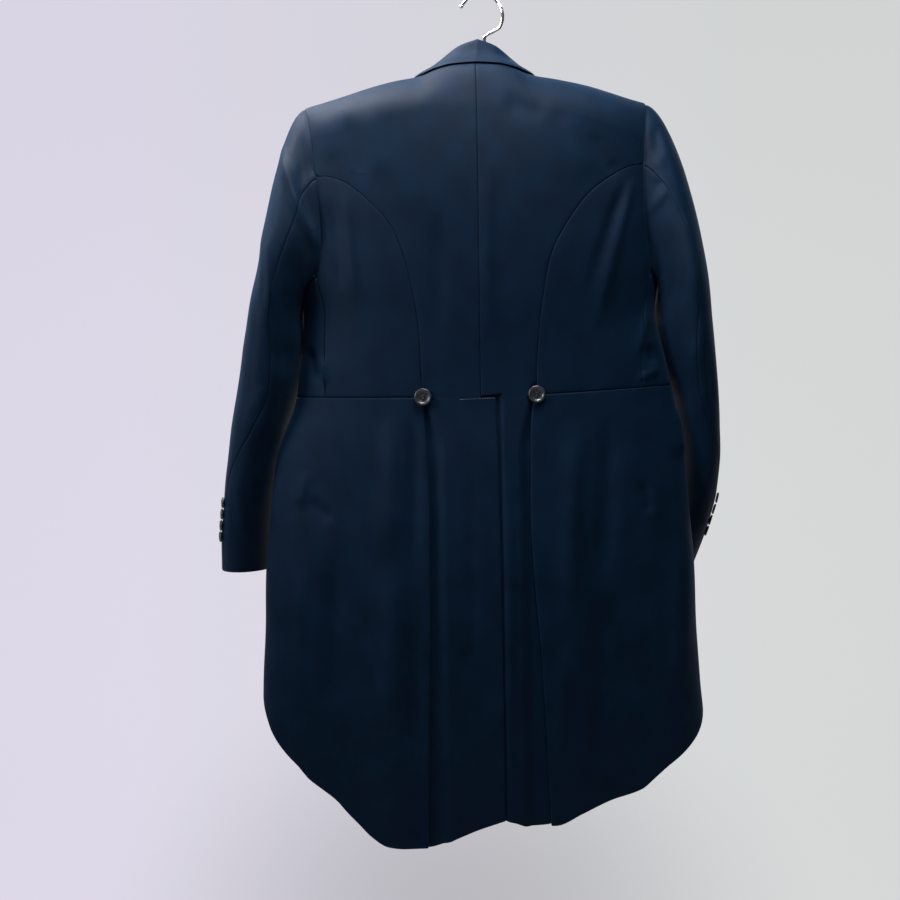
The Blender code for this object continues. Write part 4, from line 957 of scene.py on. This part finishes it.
def strip_under(side, outward, z, share):
    """The tail strips' depth: they dive under the skirts' pleats and the vent's flap at the waist."""
    below = WAIST + lift_of[side](np.abs(share)) - z
    pleat = 2 * (SKIRT_CLOTH + LAYER_GAP) + PLEAT_EASE
    start = mix(*DIVE_START, smooth(below / 0.07))
    sunk = pleat * smooth((outward - start) / DIVE_WIDTH) * smooth((below + 0.005) / 0.004)
    if side < 0:
        flap = (BACK_CLOTH + LAYER_GAP + FLAP_EASE) * smooth((FLAP_EDGE - outward) / FLAP_WIDTH)
        groove = GROOVE_DEPTH * np.exp(-((outward - GROOVE_PLACE) / GROOVE_WIDTH) ** 2)
        sunk = np.maximum(sunk, (flap + groove) * smooth((below + 0.0018) / 0.0014))
    return sunk


# share of the tail's length over which the vent opens
VENT_OPENING = 0.0016


def dress_back(side):
    levels = LEVELS[side]
    bottom = 2.0 + len(levels) - 1
    outer_edge = parted(back_seam[side], -1)

    def place(u, v):
        upper = np.clip(v, 0.0, bottom)
        past = np.clip(-v, 0.0, 1.0)
        end = edge_share(side, upper, levels, outer_edge, neck=True)
        start = 0.75 * SEAM_GAP / HALF_ROUND
        share = mix(start, end, u)
        z = row_height(side, upper, share, levels, neck=True)
        t = np.clip(v - bottom, 0.0, 1.0)
        opened = smooth(t / VENT_OPENING)
        fold = pleat_fold[side](mix(WAIST, SKIRT_END, t))
        tail_end = mix(end, fold + (PLEAT_DEPTH + 0.001) / HALF_ROUND, smooth(t / 0.012))
        tail_start = mix(start, share_across(VENT_EDGE[side], -0.6 + 0.0 * u, side), opened)
        tail_share = mix(tail_start, tail_end, u)
        hem = strip_hem[side](outward_of(side, tail_share, -0.9 + 0.0 * u))
        z = np.where(v > bottom, mix(z, hem, t), z)
        points = hull(side, np.where(v > bottom, tail_share, share), z)
        reach = mix(0.0008, LAP, smooth((outward_of(side, share, z) - NECK_HALF) / 0.01))
        return points - np.stack([0.0 * past, past * reach, 0.0 * past], axis=-1)

    def depth(u, v):
        points = place(u, v)
        outward = side * (points[..., 0] - COAT_X)
        sunk = strip_under(side, outward, points[..., 2], u * BACK_WIDTH / HALF_ROUND)
        under = lap_depth(np.clip(-v, -0.3, 1.0) * LAP) * (FRONT_CLOTH + LAYER_GAP)
        if side < 0:
            under = under + lap_depth(-u * BACK_WIDTH) * (BACK_CLOTH + LAYER_GAP)
        return sunk + under
    rows = np.concatenate([[-1.0, -0.7, -0.4, -0.2, -0.05], rows_through(levels, 0.0045)])
    near_waist = np.array([0.15, 0.13, 0.115, 0.10, 0.085, 0.07, 0.055, 0.04, 0.025, 0.012, 0.0])
    rows = np.concatenate([rows[rows < bottom - 0.16], bottom - near_waist])
    tail = np.concatenate([[0.0005, 0.001, 0.0016, 0.004, 0.008, 0.012],
                           0.012 + 0.988 * spaced(0.54, 0.0048, lead=False)[1:]])
    rows = np.concatenate([rows, bottom + tail])
    columns = tucked(BACK_WIDTH, 0.004, lead=LAP * (side < 0))
    points, normal, grid = sheet_on(place, columns, rows, (0, 1, 0), depth, BACK_CLOTH)
    return cloth("back_" + NAMES[side], grid, normal, BACK_CLOTH, body_rise(points, normal),
                 laps=(6 if side < 0 else 0, 0, 5, 0), level=int(np.searchsorted(rows, bottom)))


# how far above the waist seam the upper pieces end, as a share of their last row
WAIST_GAP = 0.006


def dress_sidebody(side):
    levels = LEVELS[side]
    start_at = parted(back_seam[side], 1)
    end_at = parted(side_seam[side], -1)

    def place(u, v):
        share = mix(edge_share(side, v + 2.0, levels, start_at),
                    edge_share(side, v + 2.0, levels, end_at), u)
        return hull(side, share, row_height(side, v + 2.0, share, levels))
    last = len(levels) - 1.0 - WAIST_GAP
    coarse = [1.35, 1.6] + list(range(2, len(levels) - 1)) + [last]
    drops = [0.002, 0.003] + [abs(a - b) for a, b in zip(levels[2:], levels[3:])]
    parts = [2, 2] + [max(1, int(round(d / 0.0045))) for d in drops[2:]]
    rows = fine_rows(coarse, parts)
    rows = np.unique(np.concatenate([rows, coarse[0] + np.array([0.02, 0.05, 0.1]),
                                     last - np.array([0.006, 0.014, 0.026, 0.05])]))

    def depth(u, v):
        return (lap_depth(-u * SIDE_WIDTH) * (BACK_CLOTH + LAYER_GAP)
                + lap_depth((u - 1.0) * SIDE_WIDTH) * (FRONT_CLOTH + LAYER_GAP) + 0.0 * v)
    columns = tucked(SIDE_WIDTH, 0.0042, lead=LAP, trail=LAP)
    points, normal, grid = sheet_on(place, columns, rows, (0, 1, 0), depth, BACK_CLOTH)
    return cloth("sidebody_" + NAMES[side], grid, normal, BACK_CLOTH,
                 body_rise(points, normal), laps=(6, 6, 0, 0))


def dress_front(side):
    levels = FRONT_LEVELS
    lowest = 2.0 + len(levels) - 1.0

    def start_at(z):
        armhole = parted(front_armhole, 1)(np.maximum(z, ARMHOLE_FLOOR))
        seam = parted(side_seam[side], 1)(z)
        return np.where(z > -0.3738, armhole, seam)
    end_at = front_share(side)

    def place(u, v):
        start = edge_share(side, v, levels, start_at)
        end = edge_share(side, v, levels, end_at)
        share = mix(start, end, u)
        folded = np.where(v < 2.0, 1.0 - share, share)
        z = row_height(side, v, np.where(v < 2.0, folded, share), levels)
        return hull(side, share, z)

    def depth(u, v):
        points = place(u, v)
        return front_sunk(side, side * (points[..., 0] - COAT_X), points[..., 2])
    rows = rows_through(levels, 0.005, lowest - WAIST_GAP)
    columns = spaced(0.30, 0.0045)
    points, normal, grid = sheet_on(place, columns, rows, (0, -1, 0), depth, FRONT_CLOTH)
    return cloth("front_" + NAMES[side], grid, normal, FRONT_CLOTH, body_rise(points, normal),
                 level=len(rows) - 1)


def dress_lapel(side):
    top, width = through(LAPEL_TOP), through(LAPEL_WIDTH)

    def place(u, v):
        z = mix(top(u), LAPEL_BOTTOM, v)
        outward = front_edge(z) + LAPEL_INSET + u * width(z)
        return hull(side, share_across(outward, z, side, front=True), z)

    def depth(u, v):
        roll = LAPEL_ROLL * (1.0 - smooth(u / 0.3))
        return -(FRONT_CLOTH + LAYER_GAP + LAPEL_EASE + roll) + 0.0 * v
    thickness = FRONT_CLOTH - LAPEL_THINNER
    points, normal, grid = sheet_on(place, spaced(0.08, 0.003), spaced(0.31, 0.0045), (0, -1, 0), depth,
                                    thickness)
    return cloth("lapel_" + NAMES[side], grid, normal, thickness,
                 body_rise(points, normal), press=0.0, lined=False)


def dress_skirt(side):
    """The skirt's cloth, turned under at its pleat fold."""
    half = SKIRT_CLOTH / 2
    bend = (SKIRT_CLOTH + LAYER_GAP) / 2
    under = spaced(PLEAT_DEPTH, 0.004, trail=False)[:-1]
    path = [(PLEAT_DEPTH * (1.0 - t), half + 2 * bend) for t in under]
    for turn in np.linspace(0.0, np.pi, 9):
        path.append((bend * (1.0 - np.sin(turn)), half + bend * (1.0 + np.cos(turn))))
    wide = SKIRT_SHARE * HALF_ROUND
    reach = bend + (wide - bend) * spaced(wide, 0.0046, lead=False)[1:]
    base = float(pleat_fold[side](WAIST))
    along = np.array([p[0] for p in path] + list(reach))
    deep = np.array([p[1] for p in path] + [half] * len(reach))
    rows = tucked(SKIRT_LENGTH, 0.005, lead=LAP)

    def place(share, v):
        lift = lift_of[side](np.abs(share))
        top = WAIST - SEAM_GAP + lift
        fold = pleat_fold[side](top)
        z = mix(top, skirt_hem[side](share), v)
        shift = pleat_fold[side](z) - fold
        return hull(side, share + shift * (1.0 - smooth((share - fold) / 0.16)), z)
    u, v = np.meshgrid(base + along / HALF_ROUND, rows)
    points = place(u, v)
    outward = surface_normals_of_hull(place, u, v)
    under = lap_depth(-v * SKIRT_LENGTH) * (FRONT_CLOTH + LAYER_GAP)
    grid = points - outward * (deep[None, :] + under)[..., None]
    run = np.maximum(np.hypot(np.gradient(along), np.gradient(deep)), 1e-9)
    lean, face = np.gradient(deep) / run, np.gradient(along) / run
    tangent = unit(place(u + FINE_STEP, v) - place(u - FINE_STEP, v))
    normal = unit(outward * face[None, :, None] + tangent * lean[None, :, None])
    lift = body_rise(points, outward)
    grid = grid + outward * lift[..., None]
    return cloth("skirt_" + NAMES[side], grid, normal, SKIRT_CLOTH,
                 laps=(0, 0, 6, 0))


def dress_sleeve(side, part):
    place, first, last = sleeve_surface(side)
    head = np.concatenate([[-1.0, -0.66, -0.33, 0.0, 0.004, 0.01, 0.018], np.linspace(0.03, 1.0, 44)])
    arm = 1.0 + spaced(abs(last - first), 0.0048, lead=False)[1:]
    rows = np.concatenate([head, arm])
    columns = spaced(SLEEVE_PART_WIDTH[part], 0.0034)
    u, v = np.meshgrid(columns, rows)
    seam = np.radians(hindarm[side](axis_height(v, first, last)))
    inseam = np.radians(INSEAM_TURN)
    gap = SEAM_GAP / 2 / SLEEVE_RADIUS
    if part == "topsleeve":
        turn = mix(seam - gap, inseam + gap, u)
    else:
        turn = mix(seam + gap, inseam + 2 * np.pi - gap, u)
    points = place(turn, np.maximum(v, 0.0))
    ring_turn, ring = armhole_ring(side, -LAP)
    tuck = np.stack([np.interp(np.degrees(turn) % 360.0, ring_turn, ring[:, k]) for k in range(3)], axis=-1)
    core = np.stack([COAT_X + side * CORE_OUT + 0.0 * v, 0.0 * v, tuck[..., 2] - CORE_DOWN], axis=-1)
    tuck = tuck + unit(core - tuck) * (FRONT_CLOTH + HEAD_TUCK)
    points = np.where(v[..., None] < 0.0, mix(points, tuck, np.clip(-v, 0.0, 1.0)[..., None]), points)
    step = 0.0006
    along = place(turn + step, np.maximum(v, 0.0)) - place(turn - step, np.maximum(v, 0.0))
    down = place(turn, np.clip(v + step, step, 2.0)) - place(turn, np.maximum(v - step, 0.0))
    normal = unit(np.cross(along, down))
    row, column = -12, len(columns) // 2
    centre = place(turn[row, column] + np.pi, v[row, column])
    if np.dot(normal[row, column], points[row, column] - centre) < 0:
        normal = -normal
    grid = points - normal * SLEEVE_CLOTH / 2
    return cloth(part + "_" + NAMES[side], grid, normal, SLEEVE_CLOTH,
                 sleeve_rise(points, normal), laps=(0, 0, 3, 0))


def off_shoulder(side, outward, turn, lift):
    """Point at a lift off the shoulder's surface."""
    step = 0.002
    at = np.array(turn)
    point = shoulder(side, outward, at)
    along = shoulder(side, outward + step, at) - shoulder(side, outward - step, at)
    over = shoulder(side, outward, at + step) - shoulder(side, outward, at - step)
    normal = unit(np.cross(along, over))
    if np.dot(normal, (0, np.sin(turn), np.cos(turn))) < 0:
        normal = -normal
    return point + normal * lift


def collar_section(t, roll, leaf, stand):
    """Points from the stand's foot over the roll to the leaf's edge, at a turn along the collar."""
    side, far = (1 if t >= 0 else -1), abs(t)
    fold = np.array([COAT_X - COLLAR_LEAN * (1.0 - far) + side * float(roll[0](far)),
                     float(roll[1](far)), float(roll[2](far))])
    low, end = [off_shoulder(side, float(edge[0](far)), np.radians(float(edge[1](far))), lift)
                for edge, lift in ((stand, -(BACK_CLOTH + COLLAR_SINK)), (leaf, COLLAR_HALF + COLLAR_EASE))]
    out = unit(end - low)
    up = unit(np.cross(np.cross(out, fold - (low + end) / 2), out))
    return np.array([low, mix(low, fold, 0.6), fold - out * 0.002, fold + up * 0.0016,
                     fold + out * 0.0026, mix(fold, end, 0.45) + up * 0.0035,
                     mix(fold, end, 0.8) + up * 0.0022, end])


def dress_collar():
    """Stand and fall in one folded band, rounder along its roll."""
    roll = [through(COLLAR_ROLL, k) for k in (1, 2, 3)]
    leaf, stand = [[through(table, k) for k in (1, 2)] for table in (COLLAR_LEAF, COLLAR_STAND)]
    half_length = spaced(1.0, 0.018, lead=False)
    length = np.concatenate([-half_length[::-1][:-1], half_length])
    line = []
    for t in length:
        knots = collar_section(t, roll, leaf, stand)
        reach = reach_along(knots)
        at = np.linspace(0.0, reach[-1], 40)
        curves = [through(np.stack([reach, knots[:, k]], axis=1)) for k in range(3)]
        line.append(np.stack([curve(at) for curve in curves], axis=1))
    line = np.array(line)
    normal = unit(np.cross(np.gradient(line, axis=0), np.gradient(line, axis=1)))
    if normal[len(length) // 2, -4][1] < 0:
        normal = -normal
    return cloth("collar", line, normal, 2 * COLLAR_HALF,
                 0.0 * normal[..., 0], press=0.0, lined=False)


# distance from the button's middle and height, both as shares of its radius
BUTTON_PROFILE = [(0.0, 0.205), (0.30, 0.21), (0.52, 0.235), (0.64, 0.28), (0.74, 0.375),
                  (0.84, 0.41), (0.93, 0.385), (0.985, 0.30), (1.0, 0.23)]
# size, distance from the middle and depth of the thread holes and half thickness of
# the thread, as shares of the same radius
HOLE_SIZE, HOLE_SPREAD, HOLE_DEPTH, STRAND = 0.085, 0.165, 0.16, 0.035
THREAD_SIDES = 6


def dress_button(node, seat, radius, lift):
    """Turned button with a raised rim, a dished middle and four thread holes."""
    point, normal, first, second = seat
    profile = through(BUTTON_PROFILE)
    around = 56
    circles = np.concatenate([np.linspace(0.0, 0.5, 15)[1:], np.linspace(0.5, 1.0, 17)[1:]])
    spread = HOLE_SPREAD
    vertices, faces = [], []

    def place(a, b, height):
        return point + normal * (lift + height * radius) + radius * (a * first + b * second)
    vertices.append(place(0.0, 0.0, float(profile(0.0))))
    turn = np.linspace(0, 2 * np.pi, around, endpoint=False)
    for circle in circles:
        a, b = circle * np.cos(turn), circle * np.sin(turn)
        pit = sum(np.exp(-(((a - p) ** 2 + (b - q) ** 2) / HOLE_SIZE ** 2) ** 2)
                  for p in (-spread, spread) for q in (-spread, spread))
        height = profile(circle) - HOLE_DEPTH * pit
        vertices += [place(p, q, h) for p, q, h in zip(a, b, height)]
    for part, height in ((0.97, 0.14), (0.90, 0.06), (0.60, 0.0)):
        vertices += [place(part * math.cos(t), part * math.sin(t), height) for t in turn]
    rings = len(circles) + 3
    faces += [(0, 1 + k, 1 + (k + 1) % around) for k in range(around)]
    faces += [(a, d, c, b) for a, b, c, d in ring_faces(rings, around, 1)]
    faces.append(tuple(1 + (rings - 1) * around + k for k in range(around))[::-1])
    if np.dot(np.cross(first, second), normal) < 0:
        faces = [f[::-1] for f in faces]
    stand_for(new_object("turned_" + node, vertices, faces, looks=(HORN,)), node)
    strands = []
    for q in (-spread, spread):
        for shift in (-STRAND, STRAND):
            arc = [place(spread * c, q + shift, HOLE_DEPTH * (1.0 + math.sqrt(max(0.0, 1 - c * c))))
                   for c in np.linspace(-1.0, 1.0, 9)]
            strands.append((arc, STRAND * radius, THREAD_SIDES))
    tubes("thread_" + node, strands, THREAD)


def end_caps(rings, around):
    return [tuple(range(around))[::-1], tuple((rings - 1) * around + k for k in range(around))]


def tube_mesh(path, radius, around):
    """Vertices and faces of a round tube along a path."""
    path = np.array(path, float)
    run = np.gradient(path, axis=0)
    run /= np.linalg.norm(run, axis=1, keepdims=True)
    guide = np.array([0.0, 1.0, 0.0]) if abs(run[0][1]) < 0.8 else np.array([0.0, 0.0, 1.0])
    side = np.cross(run[0], guide)
    side /= np.linalg.norm(side)
    sizes = np.broadcast_to(radius, len(path))
    vertices = []
    for point, ahead, size in zip(path, run, sizes):
        side = side - ahead * np.dot(side, ahead)
        side /= np.linalg.norm(side)
        other = np.cross(ahead, side)
        for t in np.linspace(0, 2 * np.pi, around, endpoint=False):
            vertices.append(point + size * (math.cos(t) * side + math.sin(t) * other))
    return vertices, ring_faces(len(path), around) + end_caps(len(path), around)


def tubes(name, strands, look):
    """One piece of round strands: each a path, a radius or one for each point, and its sides."""
    vertices, faces = [], []
    for path, radius, around in strands:
        more, joined = tube_mesh(path, radius, around)
        faces += [tuple(k + len(vertices) for k in face) for face in joined]
        vertices += more
    return new_object(name, vertices, faces, looks=(look,))


def dress_buttons():
    for side in SIDES:
        share, height = BACK_BUTTONS[side]
        seat = frame_at(lambda u, v: hull(side, u, v), share, height, (0, 1, 0), FINE_STEP)
        dress_button("back_button_" + NAMES[side], seat, BUTTON_RADIUS, BUTTON_LIFT)
    seat = frame_at(lambda u, v: hull(1, u, v), *FRONT_BUTTON, (0, -1, 0), FINE_STEP)
    dress_button("front_button", seat, BUTTON_RADIUS, BUTTON_LIFT)
    for side in SIDES:
        place, first, last = sleeve_surface(side)
        for index in range(4):
            height = CUFF_BUTTON_FIRST[side] + CUFF_BUTTON_STEP * index
            row = 1.0 + (height - first) / (last - first)
            turn = np.radians(hindarm[side](height) - CUFF_BUTTON_INSET)
            seat = frame_at(place, turn, row, (side * np.cos(turn), np.sin(turn), 0))
            dress_button("cuff_button_%s_%d" % (NAMES[side], index + 1), seat, CUFF_BUTTON_RADIUS,
                         CUFF_BUTTON_LIFT)


def row_of_stitches(name, points, outward, length, thickness):
    """Short stitches laid end to end along a line, each dipping into the cloth at its ends."""
    reach = reach_along(points)
    strands = []
    for start in np.arange(0.0, reach[-1] - length, length * 1.3):
        at = start + length * np.linspace(0.0, 1.0, 7)
        rise = thickness * (1.6 * np.sin(np.pi * np.linspace(0.0, 1.0, 7)) - 0.7)
        path = np.stack([np.interp(at, reach, points[:, k]) for k in range(3)], axis=1)
        strands.append((path + np.outer(rise, outward), thickness, THREAD_SIDES))
    return tubes(name, strands, SEAM_THREAD)


# outward and height of both ends of the vent's stitching, then a stitch's length and thickness
VENT_LINE = ((0.0262, -0.5318), (-0.02, -0.5303))
STITCH_LENGTH, STITCH_THICKNESS = 0.0026, 0.00028


def stitch_vent():
    """The line of stitching that holds the vent's flap across the back at the waist."""
    points = []
    for t in np.linspace(0.0, 1.0, 30):
        x, z = mix(VENT_LINE[0][0], VENT_LINE[1][0], t), mix(VENT_LINE[0][1], VENT_LINE[1][1], t)
        side = 1 if x > 0 else -1
        points.append(hull(side, np.array(share_across(abs(x), z, side)), np.array(z)))
    row_of_stitches("stitch_vent", np.array(points), np.array([0.0, 1.0, 0.0]), STITCH_LENGTH,
                    STITCH_THICKNESS)


def dress_hanger():
    neck = through(HANGER_NECK)
    vertices = []
    around, count = 28, 121
    over = np.radians(HANGER_LEAN)
    for place in np.linspace(-HANGER_REACH, HANGER_REACH, count):
        outward = HANGER_MIDDLE + place
        side, far = (1 if outward >= 0 else -1), abs(outward)
        blend = smooth((far - 0.085) / 0.02)
        narrow = mix(*HANGER_NARROW, smooth(far / 0.12))
        depth = mix(*HANGER_DEPTH, far / HANGER_REACH)
        end = 1.0 - 0.5 * smooth((abs(place) - HANGER_REACH + 0.006) / 0.006) ** 2
        for t in np.linspace(0, 2 * np.pi, around, endpoint=False):
            across = np.sign(math.cos(t)) * abs(math.cos(t)) ** 0.6
            up = np.sign(math.sin(t)) * abs(math.sin(t)) ** 0.6
            lean = over * across
            seat = shoulder(side, far, np.array(lean)) - np.array([0, 0, FRONT_CLOTH + HANGER_EASE])
            top = mix(float(neck(abs(place))) - 0.004 * across ** 2, seat[2], blend)
            vertices.append((seat[0], seat[1] * narrow * end, top - depth * (0.5 - 0.5 * up * end)))
    faces = end_caps(count, around) + ring_faces(count, around)
    stand_for(new_object("shaped_hanger", vertices, faces, looks=(PLASTIC,)), "hanger")


def dress_hook():
    """Bent wire with a ball on its tip and a ferrule at its foot."""
    bend = np.radians(np.linspace(32.0, 214.0, 60))
    path = [(HOOK_RADIUS * math.cos(t), HOOK_WIRE - HOOK_RADIUS + HOOK_RADIUS * math.sin(t)) for t in bend]
    shank = np.array([path[-1]] + HOOK_SHANK)
    reach = reach_along(shank)
    curve = [through(np.stack([reach, shank[:, k]], axis=1)) for k in (0, 1)]
    path += [(float(curve[0](r)), float(curve[1](r))) for r in np.linspace(0.0, reach[-1], 30)[1:]]
    path = np.array([(x, 0.0, z) for x, z in path])
    ahead = unit(path[0] - path[1])
    bulge, middle, start, stop = HOOK_BALL
    places = np.linspace(start, stop, 15)
    ball = [path[0] + ahead * (0.0012 + p) for p in places]
    sizes = [max(0.0003, math.sqrt(max(0.0, bulge ** 2 - (p - middle) ** 2))) for p in places]
    foot = [(HOOK_SHANK[-1][0], 0.0, z) for z, size in FERRULE]
    strands = [(path, HOOK_WIRE, 24), (ball, sizes, 24), (foot, [size for z, size in FERRULE], 28)]
    stand_for(tubes("bent_hook", strands, CHROME), "hook")


# height of the floor, radius of the bend where it turns up into the wall
FLOOR = -2.35
COVE = 0.8
# camera's focal length, place and roll in degrees
FOCAL = 36.0 * 990.9 / 900.0
CAMERA = (0.0496, 1.30, -0.5945)
ROLL = -0.9


def stage_and_light():
    """Pale curved backdrop and floor, soft light from above, and the camera."""
    profile = [(y, FLOOR) for y in (3.2, 2.0, 0.0, -1.2)]
    profile += [(-1.8 - COVE * math.sin(t), FLOOR + COVE - COVE * math.cos(t))
                for t in np.linspace(0.0, math.pi / 2, 13)]
    profile += [(-1.8 - COVE, z) for z in (-0.8, 0.0, 1.2, 2.4)]
    wide = np.linspace(-4.0, 4.0, 17)
    vertices = [(x, y, z) for y, z in profile for x in wide]
    faces = grid_faces(len(profile), len(wide)).tolist()
    mesh = bpy.data.meshes.new("backdrop")
    mesh.from_pydata(vertices, [], faces)
    mesh.materials.append(BACKDROP)
    mesh.polygons.foreach_set("use_smooth", np.full(len(mesh.polygons), True))
    backdrop = bpy.data.objects.new("backdrop", mesh)
    bpy.context.scene.collection.objects.link(backdrop)
    for name, spot, aim, wide, deep, power, spread, colour in LIGHTS:
        lamp = bpy.data.lights.new(name, "AREA")
        lamp.shape = "RECTANGLE"
        lamp.size, lamp.size_y = wide, deep
        lamp.energy = power
        lamp.spread = math.radians(spread)
        lamp.color = colour
        lit = bpy.data.objects.new(name, lamp)
        lit.location = spot
        lit.visible_camera = False
        lit.rotation_euler = (Vector(aim) - Vector(spot)).to_track_quat("-Z", "Y").to_euler()
        bpy.context.scene.collection.objects.link(lit)
    world = bpy.data.worlds.new("studio")
    world.use_nodes = True
    world.node_tree.nodes["Background"].inputs["Color"].default_value = (*WORLD_COLOUR, 1.0)
    world.node_tree.nodes["Background"].inputs["Strength"].default_value = WORLD_STRENGTH
    bpy.context.scene.world = world
    lens = bpy.data.cameras.new("camera")
    lens.sensor_width = 36.0
    lens.lens = FOCAL
    camera = bpy.data.objects.new("camera", lens)
    facing = Matrix(((-1, 0, 0), (0, 0, 1), (0, 1, 0))).to_4x4()
    camera.matrix_world = (Matrix.Translation(CAMERA) @ facing
                           @ Matrix.Rotation(math.radians(ROLL), 4, "Z"))
    bpy.context.scene.collection.objects.link(camera)
    bpy.context.scene.camera = camera
    bpy.context.scene.view_settings.view_transform = "Standard"


for wearer_side in SIDES:
    dress_back(wearer_side)
    dress_sidebody(wearer_side)
    dress_front(wearer_side)
    dress_lapel(wearer_side)
    dress_skirt(wearer_side)
    dress_sleeve(wearer_side, "topsleeve")
    dress_sleeve(wearer_side, "undersleeve")
dress_collar()
stitch_vent()
dress_buttons()
dress_hanger()
dress_hook()
stage_and_light()
